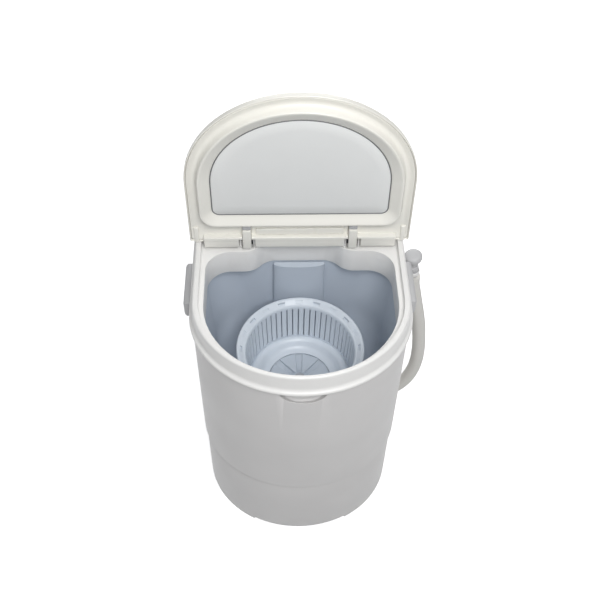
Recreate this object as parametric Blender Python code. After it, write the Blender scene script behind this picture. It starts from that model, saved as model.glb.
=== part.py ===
"""Mini top load washing machine: cabinet, tub, spin basket, lid, drive and drain.

Metres, +Z up, +X to the right, the front towards -Y. The parts are laid out about
the drum's axis and then moved back together, so that the origin is on the floor
under the middle of the cabinet. The lid stands open, leaning back on its stop.
"""
import math

import bmesh
import bpy
from mathutils import Vector

for old_object in list(bpy.data.objects):
    bpy.data.objects.remove(old_object, do_unlink=True)

# Clearances
GAP = 0.0003                    # between parts that touch
RUNNING = 0.0005                # round a turning or sliding part
WALL = 0.0025                   # moulded plastic wall

# Cabinet plan: half an ellipse in front, straight sides, rounded rear corners
HALF_WIDTH = 0.1757
FRONT_DEPTH = 0.1551
REAR_DEPTH = 0.1980
REAR_CORNER = 0.0500
FRONT_STEPS = 20
CORNER_STEPS = 4

# Cabinet heights
RIM_HEIGHT = 0.5194             # top of the collar's rim
SHOULDER_HEIGHT = RIM_HEIGHT - 0.0409  # joint of the upper shell and the collar
SEAM_HEIGHT = 0.1775            # lower lip of the upper shell
SHELL_LAP = 0.0125              # the base shell runs this far up inside the upper shell
SKIRT_CLEAR = 0.0020            # base skirt above the floor
SKIRT_NOTCH = 0.0060            # the skirt is raised this much between the feet
NOTCH_HALF = 0.0870
BASE_GROW_FOOT = -0.0011
LIP_GROW = 0.0014               # the upper shell widens by this towards its lower lip

# Hinge axis
HINGE_Y = REAR_DEPTH - 0.0742
HINGE_RISE = 0.0065             # hinge axis above the rim

# Collar
SHOULDER_GROW = 0.0043
RIM_GROW = -0.0042
OPENING_HALF = HALF_WIDTH - 0.0202  # land beside the opening
OPENING_FRONT = FRONT_DEPTH - 0.0141
OPENING_REAR = HINGE_Y + 0.0092  # rear edge between the hinge bosses
BOSS_FACE = HINGE_Y - 0.0153    # front face of the hinge bosses
OPENING_CORNER = 0.0400
LEDGE_GROW = 0.0055             # width of the sunken deck in front of the opening
LEDGE_DEPTH = 0.0115            # the deck lies this far below the rim
DECK_HALF = OPENING_HALF + 0.0080
DECK_REAR = HINGE_Y + 0.0132
DECK_CORNER = 0.0060
COLLAR_DROP = 0.0615            # depth of the collar's inner wall

# Lid, measured from its hinge axis
LID_LEAN = math.radians(2.9)
LID_HALF = HALF_WIDTH + 0.0053  # the lid overhangs the rim at the sides and in front
LID_STRAIGHT = HINGE_Y - 0.0008
LID_ARC = FRONT_DEPTH + 0.0049
LID_HEEL = 0.0020               # the lid's rear edge behind the axis
LID_GAP = 0.0005                # lid edge above the rim when closed
LID_CROWN = 0.0120              # outer face behind the axis
RIDGE_INSET = 0.0205
RIDGE_BOTTOM = 0.0410
RIDGE_DEPTH = 0.0105            # ridge tip beyond the lid's free edge
PANEL_INSET = 0.0400
PANEL_BOTTOM = 0.0588
PANEL_THICKNESS = 0.0020
CLIP_X = 0.0870
CLIP_WIDTH = 0.0140
CLIP_REACH = 0.0280
CLIP_HEEL = 0.0130
CLIP_DEPTH = 0.0135
PIN_RADIUS = 0.0020
BRACKET_WALL = 0.0027
BRACKET_SIDE = 0.0030           # clearance beside the clip
BRACKET_FLOOR = RIM_HEIGHT - 0.0190
BRACKET_FRONT = HINGE_Y - 0.0093
BRACKET_BACK = HINGE_Y + 0.0097
EAR_REACH = 0.0050
EAR_SWEEP = 0.0080              # space the lid keeps round the bracket's ears
CLIP_BACK = 0.0045
HINGE_BAR_HALF = DECK_HALF - 0.0055
HINGE_BAR_DEPTH = 0.0128
HINGE_BAR_TOP = 0.0118
HINGE_BAR_FOOT = 0.0098          # the bar hangs this far below the hinge axis

# Console
CONSOLE_HALF = HALF_WIDTH - 0.0157
CONSOLE_FRONT = DECK_REAR + 0.0025
CONSOLE_REAR = REAR_DEPTH - 0.0050
CONSOLE_HEIGHT = 0.0140
CONSOLE_CORNER = 0.0180
KNOB_X = 0.0000
KNOB_Y = CONSOLE_REAR - 0.0260
KNOB_RADIUS = 0.0180
KNOB_HEIGHT = 0.0150
KNOB_SHAFT = 0.0030
TIMER_HALF = 0.0180
TIMER_DEPTH = 0.0400

# Tub
TUB_HALF = OPENING_HALF + 0.0025
TUB_FRONT = OPENING_FRONT + 0.0025
TUB_REAR = OPENING_REAR
TUB_CORNER = 0.0500
TUB_FLOOR = 0.2620
TUB_WALL = 0.0022
TUB_LIP = 0.0032                 # flange round the tub's mouth

# Spin basket and pulsator, turned about the origin's vertical axis
BASKET_RADIUS = 0.1088
TUB_FLOOR_RADIUS = BASKET_RADIUS + 0.0092
BASKET_RIM_WIDTH = 0.0130
BASKET_WALL_TOP = BASKET_RADIUS - 0.0153
BASKET_WALL_FOOT = BASKET_RADIUS - 0.0193
BASKET_FLOOR = TUB_FLOOR + 0.0260
BASKET_RIM = BASKET_FLOOR + 0.0990
BASKET_SLOTS = 24
PULSATOR_RADIUS = BASKET_WALL_FOOT - 0.0260
PULSATOR_VANES = 8
SHAFT_RADIUS = 0.0060
BUSH_RADIUS = SHAFT_RADIUS + 0.0040

# Drive
PULLEY_PLANE = TUB_FLOOR - 0.0570  # middle of the belt
BELT_HEIGHT = 0.0080
BELT_THICKNESS = 0.0030
TUB_PULLEY = 0.0600
MOTOR_PULLEY = 0.0160
MOTOR_Y = REAR_DEPTH - 0.0930
MOTOR_RADIUS = 0.0480
MOTOR_TOP = PULLEY_PLANE - 0.0650
MOTOR_HEIGHT = 0.0920
MOTOR_SHAFT = 0.0040
MOTOR_BOLT_X = 0.0340

# Feet and bottom plate
PLATE_HEIGHT = 0.0123
FOOT_RADIUS = 0.0130
FOOT_PEG = 0.0040
FOOT_X = HALF_WIDTH - 0.0557
FOOT_FRONT_Y = 0.0801 - FRONT_DEPTH
FOOT_REAR_Y = REAR_DEPTH - 0.0530
FEET = [
    ("front_left", -FOOT_X, FOOT_FRONT_Y),
    ("front_right", FOOT_X, FOOT_FRONT_Y),
    ("rear_left", -FOOT_X, FOOT_REAR_Y),
    ("rear_right", FOOT_X, FOOT_REAR_Y),
]

# Cord gland
GLAND_NECK = 0.0080
GLAND_X = -0.1000
GLAND_Z = 0.0550

# Side grips
GRIP_REACH = 0.0185
GRIP_FRONT = 0.0350
GRIP_REAR = 0.1240
GRIP_TOP = SHOULDER_HEIGHT - 0.0160
GRIP_DROP = 0.0325
GRIP_WALL = 0.0030

# Front finger scoop
SCOOP_HALF = 0.0430
SCOOP_HEIGHT = 0.0240
SCOOP_DEPTH = 0.0055
SCOOP_TOP = SHOULDER_HEIGHT - 0.0008

# Drain hose
HOSE_RADIUS = 0.0130
HOSE_BORE = 0.0100
HOSE_CAP = 0.0158
NECK_RADIUS = 0.0085
# Route of the hose's centre line, from the spigot up to the holder
HOSE_ROUTE = [
    (HALF_WIDTH + 0.0213, REAR_DEPTH - 0.0700, 0.0560),
    (HALF_WIDTH + 0.0358, REAR_DEPTH - 0.0698, 0.0715),
    (HALF_WIDTH + 0.0493, REAR_DEPTH - 0.0690, 0.0930),
    (HALF_WIDTH + 0.0583, REAR_DEPTH - 0.0677, 0.1190),
    (HALF_WIDTH + 0.0631, REAR_DEPTH - 0.0660, 0.1480),
    (HALF_WIDTH + 0.0639, REAR_DEPTH - 0.0642, 0.1780),
    (HALF_WIDTH + 0.0623, REAR_DEPTH - 0.0625, 0.2080),
    (HALF_WIDTH + 0.0589, REAR_DEPTH - 0.0612, 0.2390),
    (HALF_WIDTH + 0.0545, REAR_DEPTH - 0.0602, 0.2700),
    (HALF_WIDTH + 0.0486, REAR_DEPTH - 0.0594, 0.3000),
    (HALF_WIDTH + 0.0420, REAR_DEPTH - 0.0588, 0.3300),
    (HALF_WIDTH + 0.0357, REAR_DEPTH - 0.0583, 0.3590),
    (HALF_WIDTH + 0.0303, REAR_DEPTH - 0.0580, 0.3850),
    (HALF_WIDTH + 0.0286, REAR_DEPTH - 0.0580, 0.4060),
]
SPIGOT_ROUTE = [
    (HALF_WIDTH - 0.0257, REAR_DEPTH - 0.0700, 0.0400),
    (HALF_WIDTH + 0.0013, REAR_DEPTH - 0.0700, 0.0400),
    (HALF_WIDTH + 0.0093, REAR_DEPTH - 0.0700, 0.0435),
    (HALF_WIDTH + 0.0153, REAR_DEPTH - 0.0700, 0.0490),
    (HALF_WIDTH + 0.0205, REAR_DEPTH - 0.0700, 0.0551),
]
DRAIN_X = 0.0850
DRAIN_Y = 0.0550

COLOURS = {
    "cabinet": (0.800, 0.795, 0.780, 0.45, 0.0),
    "collar": (0.860, 0.855, 0.840, 0.38, 0.0),
    "lid": (0.840, 0.825, 0.785, 0.40, 0.0),
    "panel": (0.700, 0.700, 0.690, 0.55, 0.0),
    "tub": (0.180, 0.230, 0.320, 0.42, 0.0),
    "basket": (0.560, 0.600, 0.660, 0.38, 0.0),
    "pulsator": (0.480, 0.520, 0.580, 0.38, 0.0),
    "grip": (0.520, 0.520, 0.520, 0.50, 0.0),
    "hose": (0.640, 0.620, 0.580, 0.50, 0.0),
    "rubber": (0.020, 0.020, 0.022, 0.75, 0.0),
    "steel": (0.620, 0.620, 0.620, 0.30, 1.0),
    "zinc": (0.560, 0.570, 0.580, 0.42, 1.0),
    "black": (0.030, 0.030, 0.032, 0.50, 0.0),
    "motor": (0.300, 0.305, 0.310, 0.45, 1.0),
    "bronze": (0.450, 0.280, 0.120, 0.40, 1.0),
}


def finish(name, mesh_data, look, location=(0, 0, 0), rotation=(0, 0, 0)):
    """Make an object of a bmesh, with its own material."""
    bmesh.ops.recalc_face_normals(mesh_data, faces=mesh_data.faces)
    mesh = bpy.data.meshes.new(name)
    mesh_data.to_mesh(mesh)
    mesh_data.free()
    mesh.shade_smooth()
    mesh.set_sharp_from_angle(angle=math.radians(35))
    piece = bpy.data.objects.new(name, mesh)
    bpy.context.collection.objects.link(piece)
    piece.location = location
    piece.rotation_euler = rotation
    add_material(piece, look)
    return piece


def add_material(piece, look):
    """Give the piece a Principled material of its own."""
    red, green, blue, roughness, metallic = COLOURS[look]
    material = bpy.data.materials.new(piece.name + "_" + look)
    material.use_nodes = True
    shader = material.node_tree.nodes["Principled BSDF"]
    shader.inputs["Base Color"].default_value = (red, green, blue, 1)
    shader.inputs["Roughness"].default_value = roughness
    shader.inputs["Metallic"].default_value = metallic
    piece.data.materials.append(material)


def loft(name, rings, look, closed=False, **place):
    """Skin rings of points in turn; closed joins the last ring to the first."""
    mesh_data = bmesh.new()
    loops = [[mesh_data.verts.new(point) for point in ring] for ring in rings]
    pairs = list(zip(loops, loops[1:]))
    if closed:
        pairs.append((loops[-1], loops[0]))
    for one, other in pairs:
        for index in range(len(one)):
            after = (index + 1) % len(one)
            mesh_data.faces.new((one[index], one[after], other[after], other[index]))
    if not closed:
        mesh_data.faces.new(list(reversed(loops[0])))
        mesh_data.faces.new(loops[-1])
    return finish(name, mesh_data, look, **place)


def circle(radius, height, steps):
    """A ring of points about the local Z axis."""
    turns = [2 * math.pi * step / steps for step in range(steps)]
    return [(radius * math.cos(turn), radius * math.sin(turn), height) for turn in turns]


def turned(name, profile, look, steps=24, closed=False, **place):
    """Turn a profile of (radius, height) points about the local Z axis."""
    rings = [circle(radius, height, steps) for radius, height in profile]
    return loft(name, rings, look, closed, **place)


def washer(name, inner, outer, low, high, look, steps=24, **place):
    """A plain turned ring."""
    profile = [(inner, low), (outer, low), (outer, high), (inner, high)]
    return turned(name, profile, look, steps, True, **place)


def block(name, low, high, look, bevel=0.0, **place):
    """A box between two corners, with rounded edges if a bevel is given."""
    mesh_data = bmesh.new()
    size = [b - a for a, b in zip(low, high)]
    middle = [(a + b) / 2 for a, b in zip(low, high)]
    bmesh.ops.create_cube(mesh_data, size=1.0)
    bmesh.ops.scale(mesh_data, vec=size, verts=mesh_data.verts)
    bmesh.ops.translate(mesh_data, vec=middle, verts=mesh_data.verts)
    piece = finish(name, mesh_data, look, **place)
    if bevel:
        rounding = piece.modifiers.new("edges", "BEVEL")
        rounding.width = bevel
        rounding.segments = 2
    return piece


def combine(piece, tool, operation="DIFFERENCE"):
    """Cut a tool out of a piece, or join it on; the tool itself isn't a part."""
    tool.hide_render = True
    tool.display_type = "WIRE"
    step = piece.modifiers.new(tool.name, "BOOLEAN")
    step.operation = operation
    step.object = tool
    step.solver = "EXACT"


def cut_block(piece, name, low, high, **place):
    """Cut a box out of a piece."""
    combine(piece, block(name, low, high, "black", **place))


def cut_round(piece, name, radius, low, high, steps=20, **place):
    """Cut a round hole along the local Z axis out of a piece."""
    combine(piece, turned(name, [(radius, low), (radius, high)], "black", steps, **place))


def rear_steps(half, corner, rear, step_points):
    """Rear half of a plan outline: corner arcs with extra points between them."""
    right = []
    for step in range(CORNER_STEPS + 1):
        turn = 0.5 * math.pi * step / CORNER_STEPS
        right.append((half - corner + corner * math.cos(turn), rear - corner + corner * math.sin(turn)))
    right += step_points
    return right + [(-x, y) for x, y in reversed(right)]


def plan(half, front, rear, corner, height):
    """D-shaped plan outline, seen from above anticlockwise from the left side."""
    points = []
    for step in range(FRONT_STEPS + 1):
        turn = math.pi * (1 + step / FRONT_STEPS)
        points.append((half * math.cos(turn), front * math.sin(turn)))
    flat = half - corner
    between = [(flat * share, rear) for share in (0.75, 0.60, 0.45, 0.30)]
    points += rear_steps(half, corner, rear, between)
    return [(x, y, height) for x, y in points]


def cabinet_ring(grow, height):
    """The cabinet's plan outline, grown outwards."""
    return plan(HALF_WIDTH + grow, FRONT_DEPTH + grow, REAR_DEPTH + grow, REAR_CORNER + grow, height)


def opening_ring(grow, height):
    """The collar's opening: a D with two hinge bosses bulging in at the rear."""
    points = []
    for step in range(FRONT_STEPS + 1):
        turn = math.pi * (1 + step / FRONT_STEPS)
        points.append(((OPENING_HALF + grow) * math.cos(turn), (OPENING_FRONT + grow) * math.sin(turn)))
    rise = OPENING_REAR - BOSS_FACE
    step_points = [
        (CLIP_X - 0.0020 + 0.3 * grow, BOSS_FACE + grow),
        (CLIP_X - 0.0150 + 0.8 * grow, BOSS_FACE + 0.25 * rise + 0.6 * grow),
        (CLIP_X - 0.0270 + grow, BOSS_FACE + 0.8 * rise + 0.5 * grow),
        (CLIP_X - 0.0420 + 0.4 * grow, OPENING_REAR + grow),
    ]
    points += rear_steps(OPENING_HALF + grow, OPENING_CORNER + grow, BOSS_FACE + grow, step_points)
    return [(x, y, height) for x, y in points]


def deck_ring(grow, height):
    """Outline of the sunken deck that the lid's ridge enters; it runs straight to the rear."""
    return plan(DECK_HALF + grow, OPENING_FRONT + LEDGE_GROW + grow, DECK_REAR + grow,
                DECK_CORNER + grow, height)


# ---------------------------------------------------------------- cabinet
def base_shell():
    """Lower cabinet shell, open above and below, with raised skirt stretches."""
    low = SKIRT_CLEAR
    high = SEAM_HEIGHT + SHELL_LAP
    top_grow = LIP_GROW - WALL - RUNNING
    rings = [
        cabinet_ring(BASE_GROW_FOOT, low),
        cabinet_ring(top_grow, high),
        cabinet_ring(top_grow - WALL, high),
        cabinet_ring(BASE_GROW_FOOT - WALL, low),
    ]
    shell = loft("base_shell", rings, "cabinet", True)
    notch_top = low + SKIRT_NOTCH
    reach = 2 * HALF_WIDTH
    cut_block(shell, "skirt_notch", (-NOTCH_HALF, -reach, low - 0.01), (NOTCH_HALF, reach, notch_top))
    cut_round(shell, "spigot_hole", HOSE_BORE + 0.001, HALF_WIDTH - 0.01, HALF_WIDTH + 0.01,
              location=(0, SPIGOT_ROUTE[0][1], SPIGOT_ROUTE[0][2]), rotation=(0, math.pi / 2, 0))
    cut_round(shell, "gland_hole", GLAND_NECK + RUNNING, -0.02, 0.02,
              location=(GLAND_X, REAR_DEPTH, GLAND_Z), rotation=(math.pi / 2, 0, 0))
    return shell


def upper_shell():
    """Upper cabinet shell; its lower lip stands proud of the base shell."""
    high = SHOULDER_HEIGHT - GAP
    rings = [
        cabinet_ring(LIP_GROW, SEAM_HEIGHT),
        cabinet_ring(0, high),
        cabinet_ring(-WALL, high),
        cabinet_ring(LIP_GROW - WALL, SEAM_HEIGHT),
    ]
    shell = loft("upper_shell", rings, "cabinet", True)
    hole = [(SCOOP_HALF * math.cos(turn), SCOOP_HEIGHT * math.sin(turn)) for turn in half_turn(12)]
    hole += [(SCOOP_HALF, 0.010), (-SCOOP_HALF, 0.010)]
    rings = [[(x, y, SCOOP_TOP + z) for x, z in hole] for y in (-0.2, -0.1)]
    combine(shell, loft("scoop_hole", rings, "black"))
    return shell


def half_turn(steps):
    """Angles round the lower half of a circle."""
    return [math.pi * (1 + step / steps) for step in range(steps + 1)]


def front_scoop():
    """Shallow finger cup that closes the hole under the shoulder."""
    def rim(shrink, inset):
        points = []
        for turn in half_turn(12):
            x = (SCOOP_HALF - shrink) * math.cos(turn)
            z = (SCOOP_HEIGHT - shrink) * math.sin(turn)
            y = -FRONT_DEPTH * math.sqrt(1 - (x / HALF_WIDTH) ** 2)
            points.append((x, y + inset, SCOOP_TOP + z))
        return points
    side = 0.0015
    rings = [
        rim(0.008, SCOOP_DEPTH + side),
        rim(0.003, SCOOP_DEPTH * 0.7 + side),
        rim(RUNNING, RUNNING),
        rim(RUNNING + side, RUNNING),
        rim(0.003 + side, SCOOP_DEPTH * 0.7),
        rim(0.009, SCOOP_DEPTH),
    ]
    return loft("front_scoop", rings, "cabinet")


def bottom_plate():
    """Flat plate closing the base, with peg holes for the feet."""
    grow = BASE_GROW_FOOT - WALL - 2 * RUNNING
    rings = [cabinet_ring(grow, PLATE_HEIGHT), cabinet_ring(grow, PLATE_HEIGHT + WALL)]
    plate = loft("bottom_plate", rings, "cabinet")
    for name, x, y in FEET:
        cut_round(plate, "peg_hole_" + name, FOOT_PEG + GAP, -0.01, 0.03, 16, location=(x, y, 0))
    return plate


def feet():
    """Rubber feet, each with a peg through the bottom plate."""
    for name, x, y in FEET:
        top = PLATE_HEIGHT - GAP
        profile = [
            (FOOT_RADIUS - 0.001, 0.0),
            (FOOT_RADIUS, 0.001),
            (FOOT_RADIUS - 0.002, top),
            (FOOT_PEG, top),
            (FOOT_PEG, PLATE_HEIGHT + WALL + 0.003),
        ]
        turned("foot_" + name, profile, "rubber", 16, location=(x, y, 0))


def top_collar():
    """White top frame: shoulder, rim, seat round the opening and its inner wall."""
    ledge = RIM_HEIGHT - LEDGE_DEPTH
    low = SHOULDER_HEIGHT
    foot = RIM_HEIGHT - COLLAR_DROP
    rings = [
        cabinet_ring(0.0005, low),
        cabinet_ring(SHOULDER_GROW - 0.0005, low + 0.0020),
        cabinet_ring(SHOULDER_GROW, low + 0.0050),
        cabinet_ring(SHOULDER_GROW - 0.0010, low + 0.0080),
        cabinet_ring(0.0010, low + 0.0110),
        cabinet_ring(-0.0012, low + 0.0135),
        cabinet_ring(RIM_GROW + 0.0010, RIM_HEIGHT - 0.0025),
        cabinet_ring(RIM_GROW - 0.0012, RIM_HEIGHT),
        deck_ring(0.0015, RIM_HEIGHT),
        deck_ring(0, RIM_HEIGHT - 0.0015),
        deck_ring(0, ledge),
        opening_ring(0, ledge),
        opening_ring(0, foot),
        opening_ring(WALL, foot),
        opening_ring(WALL, ledge - 0.0030),
        deck_ring(WALL, ledge - 0.0030),
        deck_ring(WALL, RIM_HEIGHT - WALL),
        cabinet_ring(RIM_GROW - 0.0022, RIM_HEIGHT - WALL),
        cabinet_ring(-0.0045, low + 0.0110),
        cabinet_ring(-0.0022, low),
    ]
    collar = loft("top_collar", rings, "collar", True)
    half = bracket_half() + GAP
    for side, word in ((-1, "left"), (1, "right")):
        x = side * CLIP_X
        low_corner = (x - half, BRACKET_FRONT - GAP, BRACKET_FLOOR - GAP)
        high_corner = (x + half, BRACKET_BACK + GAP, RIM_HEIGHT + 0.01)
        cut_block(collar, "hinge_slot_" + word, low_corner, high_corner)
    margin = TIMER_HALF + 0.002
    cut_block(collar, "timer_slot", (KNOB_X - margin, KNOB_Y - margin, RIM_HEIGHT - 0.01),
              (KNOB_X + margin, KNOB_Y + margin, RIM_HEIGHT + 0.01))
    return collar


# ---------------------------------------------------------------- hinges and lid
def bracket_half():
    """Half the width of a hinge bracket."""
    return CLIP_WIDTH / 2 + BRACKET_SIDE + BRACKET_WALL


def hinge_brackets():
    """Cradles set in the collar's bosses, with the hinge pins through their ears."""
    hinge_height = RIM_HEIGHT + HINGE_RISE
    inner = CLIP_WIDTH / 2 + BRACKET_SIDE
    for side, word in ((-1, "left"), (1, "right")):
        x = side * CLIP_X
        low = (x - bracket_half(), BRACKET_FRONT, BRACKET_FLOOR)
        deck = RIM_HEIGHT - LEDGE_DEPTH
        bracket = block("hinge_bracket_" + word, low, (x + bracket_half(), BRACKET_BACK, deck - GAP), "collar")
        ear_low = (x - bracket_half(), HINGE_Y - EAR_REACH, deck - 0.004)
        ear_high = (x + bracket_half(), HINGE_Y + EAR_REACH, hinge_height + EAR_REACH - 0.001)
        combine(bracket, block("ears_" + word, ear_low, ear_high, "black"), "UNION")
        cut_block(bracket, "cradle_" + word, (x - inner, BRACKET_FRONT + WALL, BRACKET_FLOOR + WALL),
                  (x + inner, BRACKET_BACK - WALL, hinge_height + 0.01))
        cut_round(bracket, "pin_bore_" + word, PIN_RADIUS + GAP, -0.02, 0.02, 12,
                  location=(x, HINGE_Y, hinge_height), rotation=(0, math.pi / 2, 0))
        pin_half = bracket_half() - 0.0005
        turned("hinge_pin_" + word, [(PIN_RADIUS, -pin_half), (PIN_RADIUS, pin_half)], "steel", 12,
               location=(x, HINGE_Y, hinge_height), rotation=(0, math.pi / 2, 0))


def lid_ring(inset, depth, bottom=None, corner=0.0):
    """D outline in the lid's own plane; depth is positive towards the lid's outer face."""
    half = LID_HALF - inset
    top = LID_STRAIGHT + LID_ARC - inset
    base = -LID_HEEL if bottom is None else bottom
    arc = LID_ARC - inset
    points = []
    for step in range(FRONT_STEPS + 1):
        turn = math.pi * step / FRONT_STEPS
        points.append((half * math.cos(turn), top - arc + arc * math.sin(turn)))
    for step in range(CORNER_STEPS + 1):
        turn = math.pi * (1 + 0.5 * step / CORNER_STEPS)
        points.append((-half + corner + corner * math.cos(turn), base + corner + corner * math.sin(turn)))
    for step in range(CORNER_STEPS + 1):
        turn = math.pi * (1.5 + 0.5 * step / CORNER_STEPS)
        points.append((half - corner + corner * math.cos(turn), base + corner + corner * math.sin(turn)))
    return [(x, depth, up) for x, up in points]


def lid_parts():
    """Outer lid, raised inner frame, flat panel and the two hinge clips."""
    edge = -(HINGE_RISE - LID_GAP)
    ridge = edge - RIDGE_DEPTH
    heel = -LID_HEEL
    rings = [
        lid_ring(0.0110, LID_CROWN, heel + 0.006, 0.010),
        lid_ring(0.0055, LID_CROWN - 0.0015, heel + 0.003, 0.010),
        lid_ring(0.0020, LID_CROWN - 0.0050, heel + 0.0010, 0.010),
        lid_ring(0.0, LID_CROWN - 0.0100, heel, 0.004),
        lid_ring(0.0, edge, heel, 0.004),
        lid_ring(WALL, edge, heel + WALL, 0.003),
        lid_ring(WALL, LID_CROWN - 0.0105, heel + WALL, 0.003),
        lid_ring(0.0050, LID_CROWN - 0.0060, heel + 0.004, 0.008),
        lid_ring(0.0120, LID_CROWN - WALL, heel + 0.007, 0.010),
    ]
    shell = loft("lid_shell", rings, "lid")
    land = edge + 0.0045
    back = LID_CROWN - WALL - 0.0045
    seat = edge - 0.0015
    inset = WALL + RUNNING
    rings = [
        lid_ring(inset + 0.006, back, heel + 0.0075, 0.004),
        lid_ring(inset, back - 0.003, heel + inset + 0.001, 0.004),
        lid_ring(inset, land, heel + inset + 0.001, 0.004),
        lid_ring(RIDGE_INSET - 0.0040, land - 0.0005, RIDGE_BOTTOM - 0.004, 0.029),
        lid_ring(RIDGE_INSET, ridge + 0.0030, RIDGE_BOTTOM, 0.027),
        lid_ring(RIDGE_INSET + 0.0020, ridge, RIDGE_BOTTOM + 0.002, 0.026),
        lid_ring(RIDGE_INSET + 0.0050, ridge, RIDGE_BOTTOM + 0.004, 0.024),
        lid_ring(PANEL_INSET, seat, PANEL_BOTTOM, 0.012),
        lid_ring(PANEL_INSET, seat + PANEL_THICKNESS + RUNNING, PANEL_BOTTOM, 0.012),
    ]
    frame = loft("lid_inner_frame", rings, "lid")
    bar_low = (-HINGE_BAR_HALF, -HINGE_BAR_DEPTH, heel + inset + 0.0015)
    combine(frame, block("hinge_bar", bar_low, (HINGE_BAR_HALF, land + 0.001, HINGE_BAR_TOP), "lid", 0.0010),
            "UNION")
    apron_high = (HINGE_BAR_HALF - 0.0004, edge - LID_GAP, heel + inset + 0.0050)
    apron = block("hinge_apron", (0.0004 - HINGE_BAR_HALF, -HINGE_BAR_DEPTH + 0.0002, -HINGE_BAR_FOOT), apron_high,
                  "lid", 0.0008)
    combine(frame, apron, "UNION")
    rings = [
        lid_ring(PANEL_INSET + RUNNING, seat + PANEL_THICKNESS, PANEL_BOTTOM + RUNNING, 0.012),
        lid_ring(PANEL_INSET + RUNNING, seat + 0.0003, PANEL_BOTTOM + RUNNING, 0.012),
        lid_ring(PANEL_INSET + 0.0010, seat, PANEL_BOTTOM + 0.0010, 0.012),
    ]
    panel = loft("lid_panel", rings, "panel")
    pieces = [shell, frame, panel]
    for side, word in ((-1, "left"), (1, "right")):
        x = side * CLIP_X
        half = CLIP_WIDTH / 2
        cut_half = half + RUNNING
        ears = bracket_half() + RUNNING
        for piece in (shell, frame):
            cut_block(piece, "ear_gap_%s_%s" % (piece.name, word), (x - ears, ridge - 0.01, heel - 0.01),
                      (x + ears, EAR_SWEEP, EAR_SWEEP))
        cut_block(frame, "clip_seat_" + word, (x - cut_half, ridge - 0.01, heel - 0.01),
                  (x + cut_half, CLIP_BACK + RUNNING, CLIP_REACH + RUNNING))
        clip = block("hinge_clip_" + word, (x - half, -CLIP_DEPTH, -CLIP_HEEL),
                     (x + half, CLIP_BACK, CLIP_REACH), "lid", 0.0012)
        cut_round(clip, "clip_bore_" + word, PIN_RADIUS + GAP, -0.02, 0.02, 12,
                  location=(x, 0, 0), rotation=(0, math.pi / 2, 0))
        pieces.append(clip)
    return pieces


def hang_lid(pieces):
    """Parent the lid's pieces and their cutters to the hinge axis, leaning back."""
    axis = bpy.data.objects.new("lid_axis", None)
    bpy.context.collection.objects.link(axis)
    axis.location = (0, HINGE_Y, RIM_HEIGHT + HINGE_RISE)
    axis.rotation_euler = (-LID_LEAN, 0, 0)
    for piece in pieces:
        piece.parent = axis
        for step in piece.modifiers:
            if step.type == "BOOLEAN":
                step.object.parent = axis


# ---------------------------------------------------------------- console
def rounded_ring(half, front, rear, corner, height):
    """Rounded rectangle in plan."""
    points = []
    centres = ((half - corner, rear - corner), (corner - half, rear - corner),
               (corner - half, front + corner), (half - corner, front + corner))
    for quarter, (x, y) in enumerate(centres):
        for step in range(5):
            turn = 0.5 * math.pi * (quarter + step / 4)
            points.append((x + corner * math.cos(turn), y + corner * math.sin(turn), height))
    return points


def console():
    """Rear control console with its timer, panel and knob."""
    low = RIM_HEIGHT + GAP
    high = low + CONSOLE_HEIGHT

    def ring(inset, height):
        return rounded_ring(CONSOLE_HALF - inset, CONSOLE_FRONT + inset, CONSOLE_REAR - inset,
                            CONSOLE_CORNER - inset, height)
    rings = [
        ring(0.0070, high),
        ring(0.0030, high - 0.0010),
        ring(0.0010, high - 0.0035),
        ring(0.0, low),
        ring(WALL, low),
        ring(WALL + 0.0010, high - 0.0050),
        ring(WALL + 0.0040, high - WALL),
    ]
    housing = loft("console_housing", rings, "collar")
    cut_round(housing, "knob_hole", KNOB_SHAFT + RUNNING, low - 0.02, high + 0.02, 16,
              location=(KNOB_X, KNOB_Y, 0))
    plate = high + GAP
    plate_rings = [rounded_ring(0.075, CONSOLE_FRONT + 0.0095, CONSOLE_REAR - 0.0095, 0.006, z)
                   for z in (plate, plate + 0.0008)]
    panel = loft("control_panel", plate_rings, "panel")
    cut_round(panel, "panel_hole", KNOB_SHAFT + RUNNING, low - 0.02, high + 0.02, 16,
              location=(KNOB_X, KNOB_Y, 0))
    timer_top = high - WALL - GAP
    block("timer_body", (KNOB_X - TIMER_HALF, KNOB_Y - TIMER_HALF, timer_top - TIMER_DEPTH),
          (KNOB_X + TIMER_HALF, KNOB_Y + TIMER_HALF, timer_top), "black")
    cut_round(bpy.data.objects["timer_body"], "timer_bore", KNOB_SHAFT + RUNNING, 0.0, 0.1, 16,
              location=(KNOB_X, KNOB_Y, timer_top - 0.010))
    knob_low = plate + 0.0008 + RUNNING
    knob_top = knob_low + KNOB_HEIGHT
    profile = [
        (KNOB_SHAFT, timer_top - 0.009 - knob_low),
        (KNOB_SHAFT, 0.0),
        (KNOB_RADIUS, 0.0),
        (KNOB_RADIUS, 0.0030),
        (KNOB_RADIUS - 0.0015, 0.0045),
        (KNOB_RADIUS - 0.0030, 0.0050),
    ]
    knob = turned("timer_knob", profile, "grip", 20, location=(KNOB_X, KNOB_Y, knob_low))
    grip = block("knob_grip", (-0.0045, -KNOB_RADIUS + 0.0020, 0.0040),
                 (0.0045, KNOB_RADIUS - 0.0020, KNOB_HEIGHT), "grip", 0.0010,
                 location=(KNOB_X, KNOB_Y, knob_low))
    combine(knob, grip, "UNION")


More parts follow.
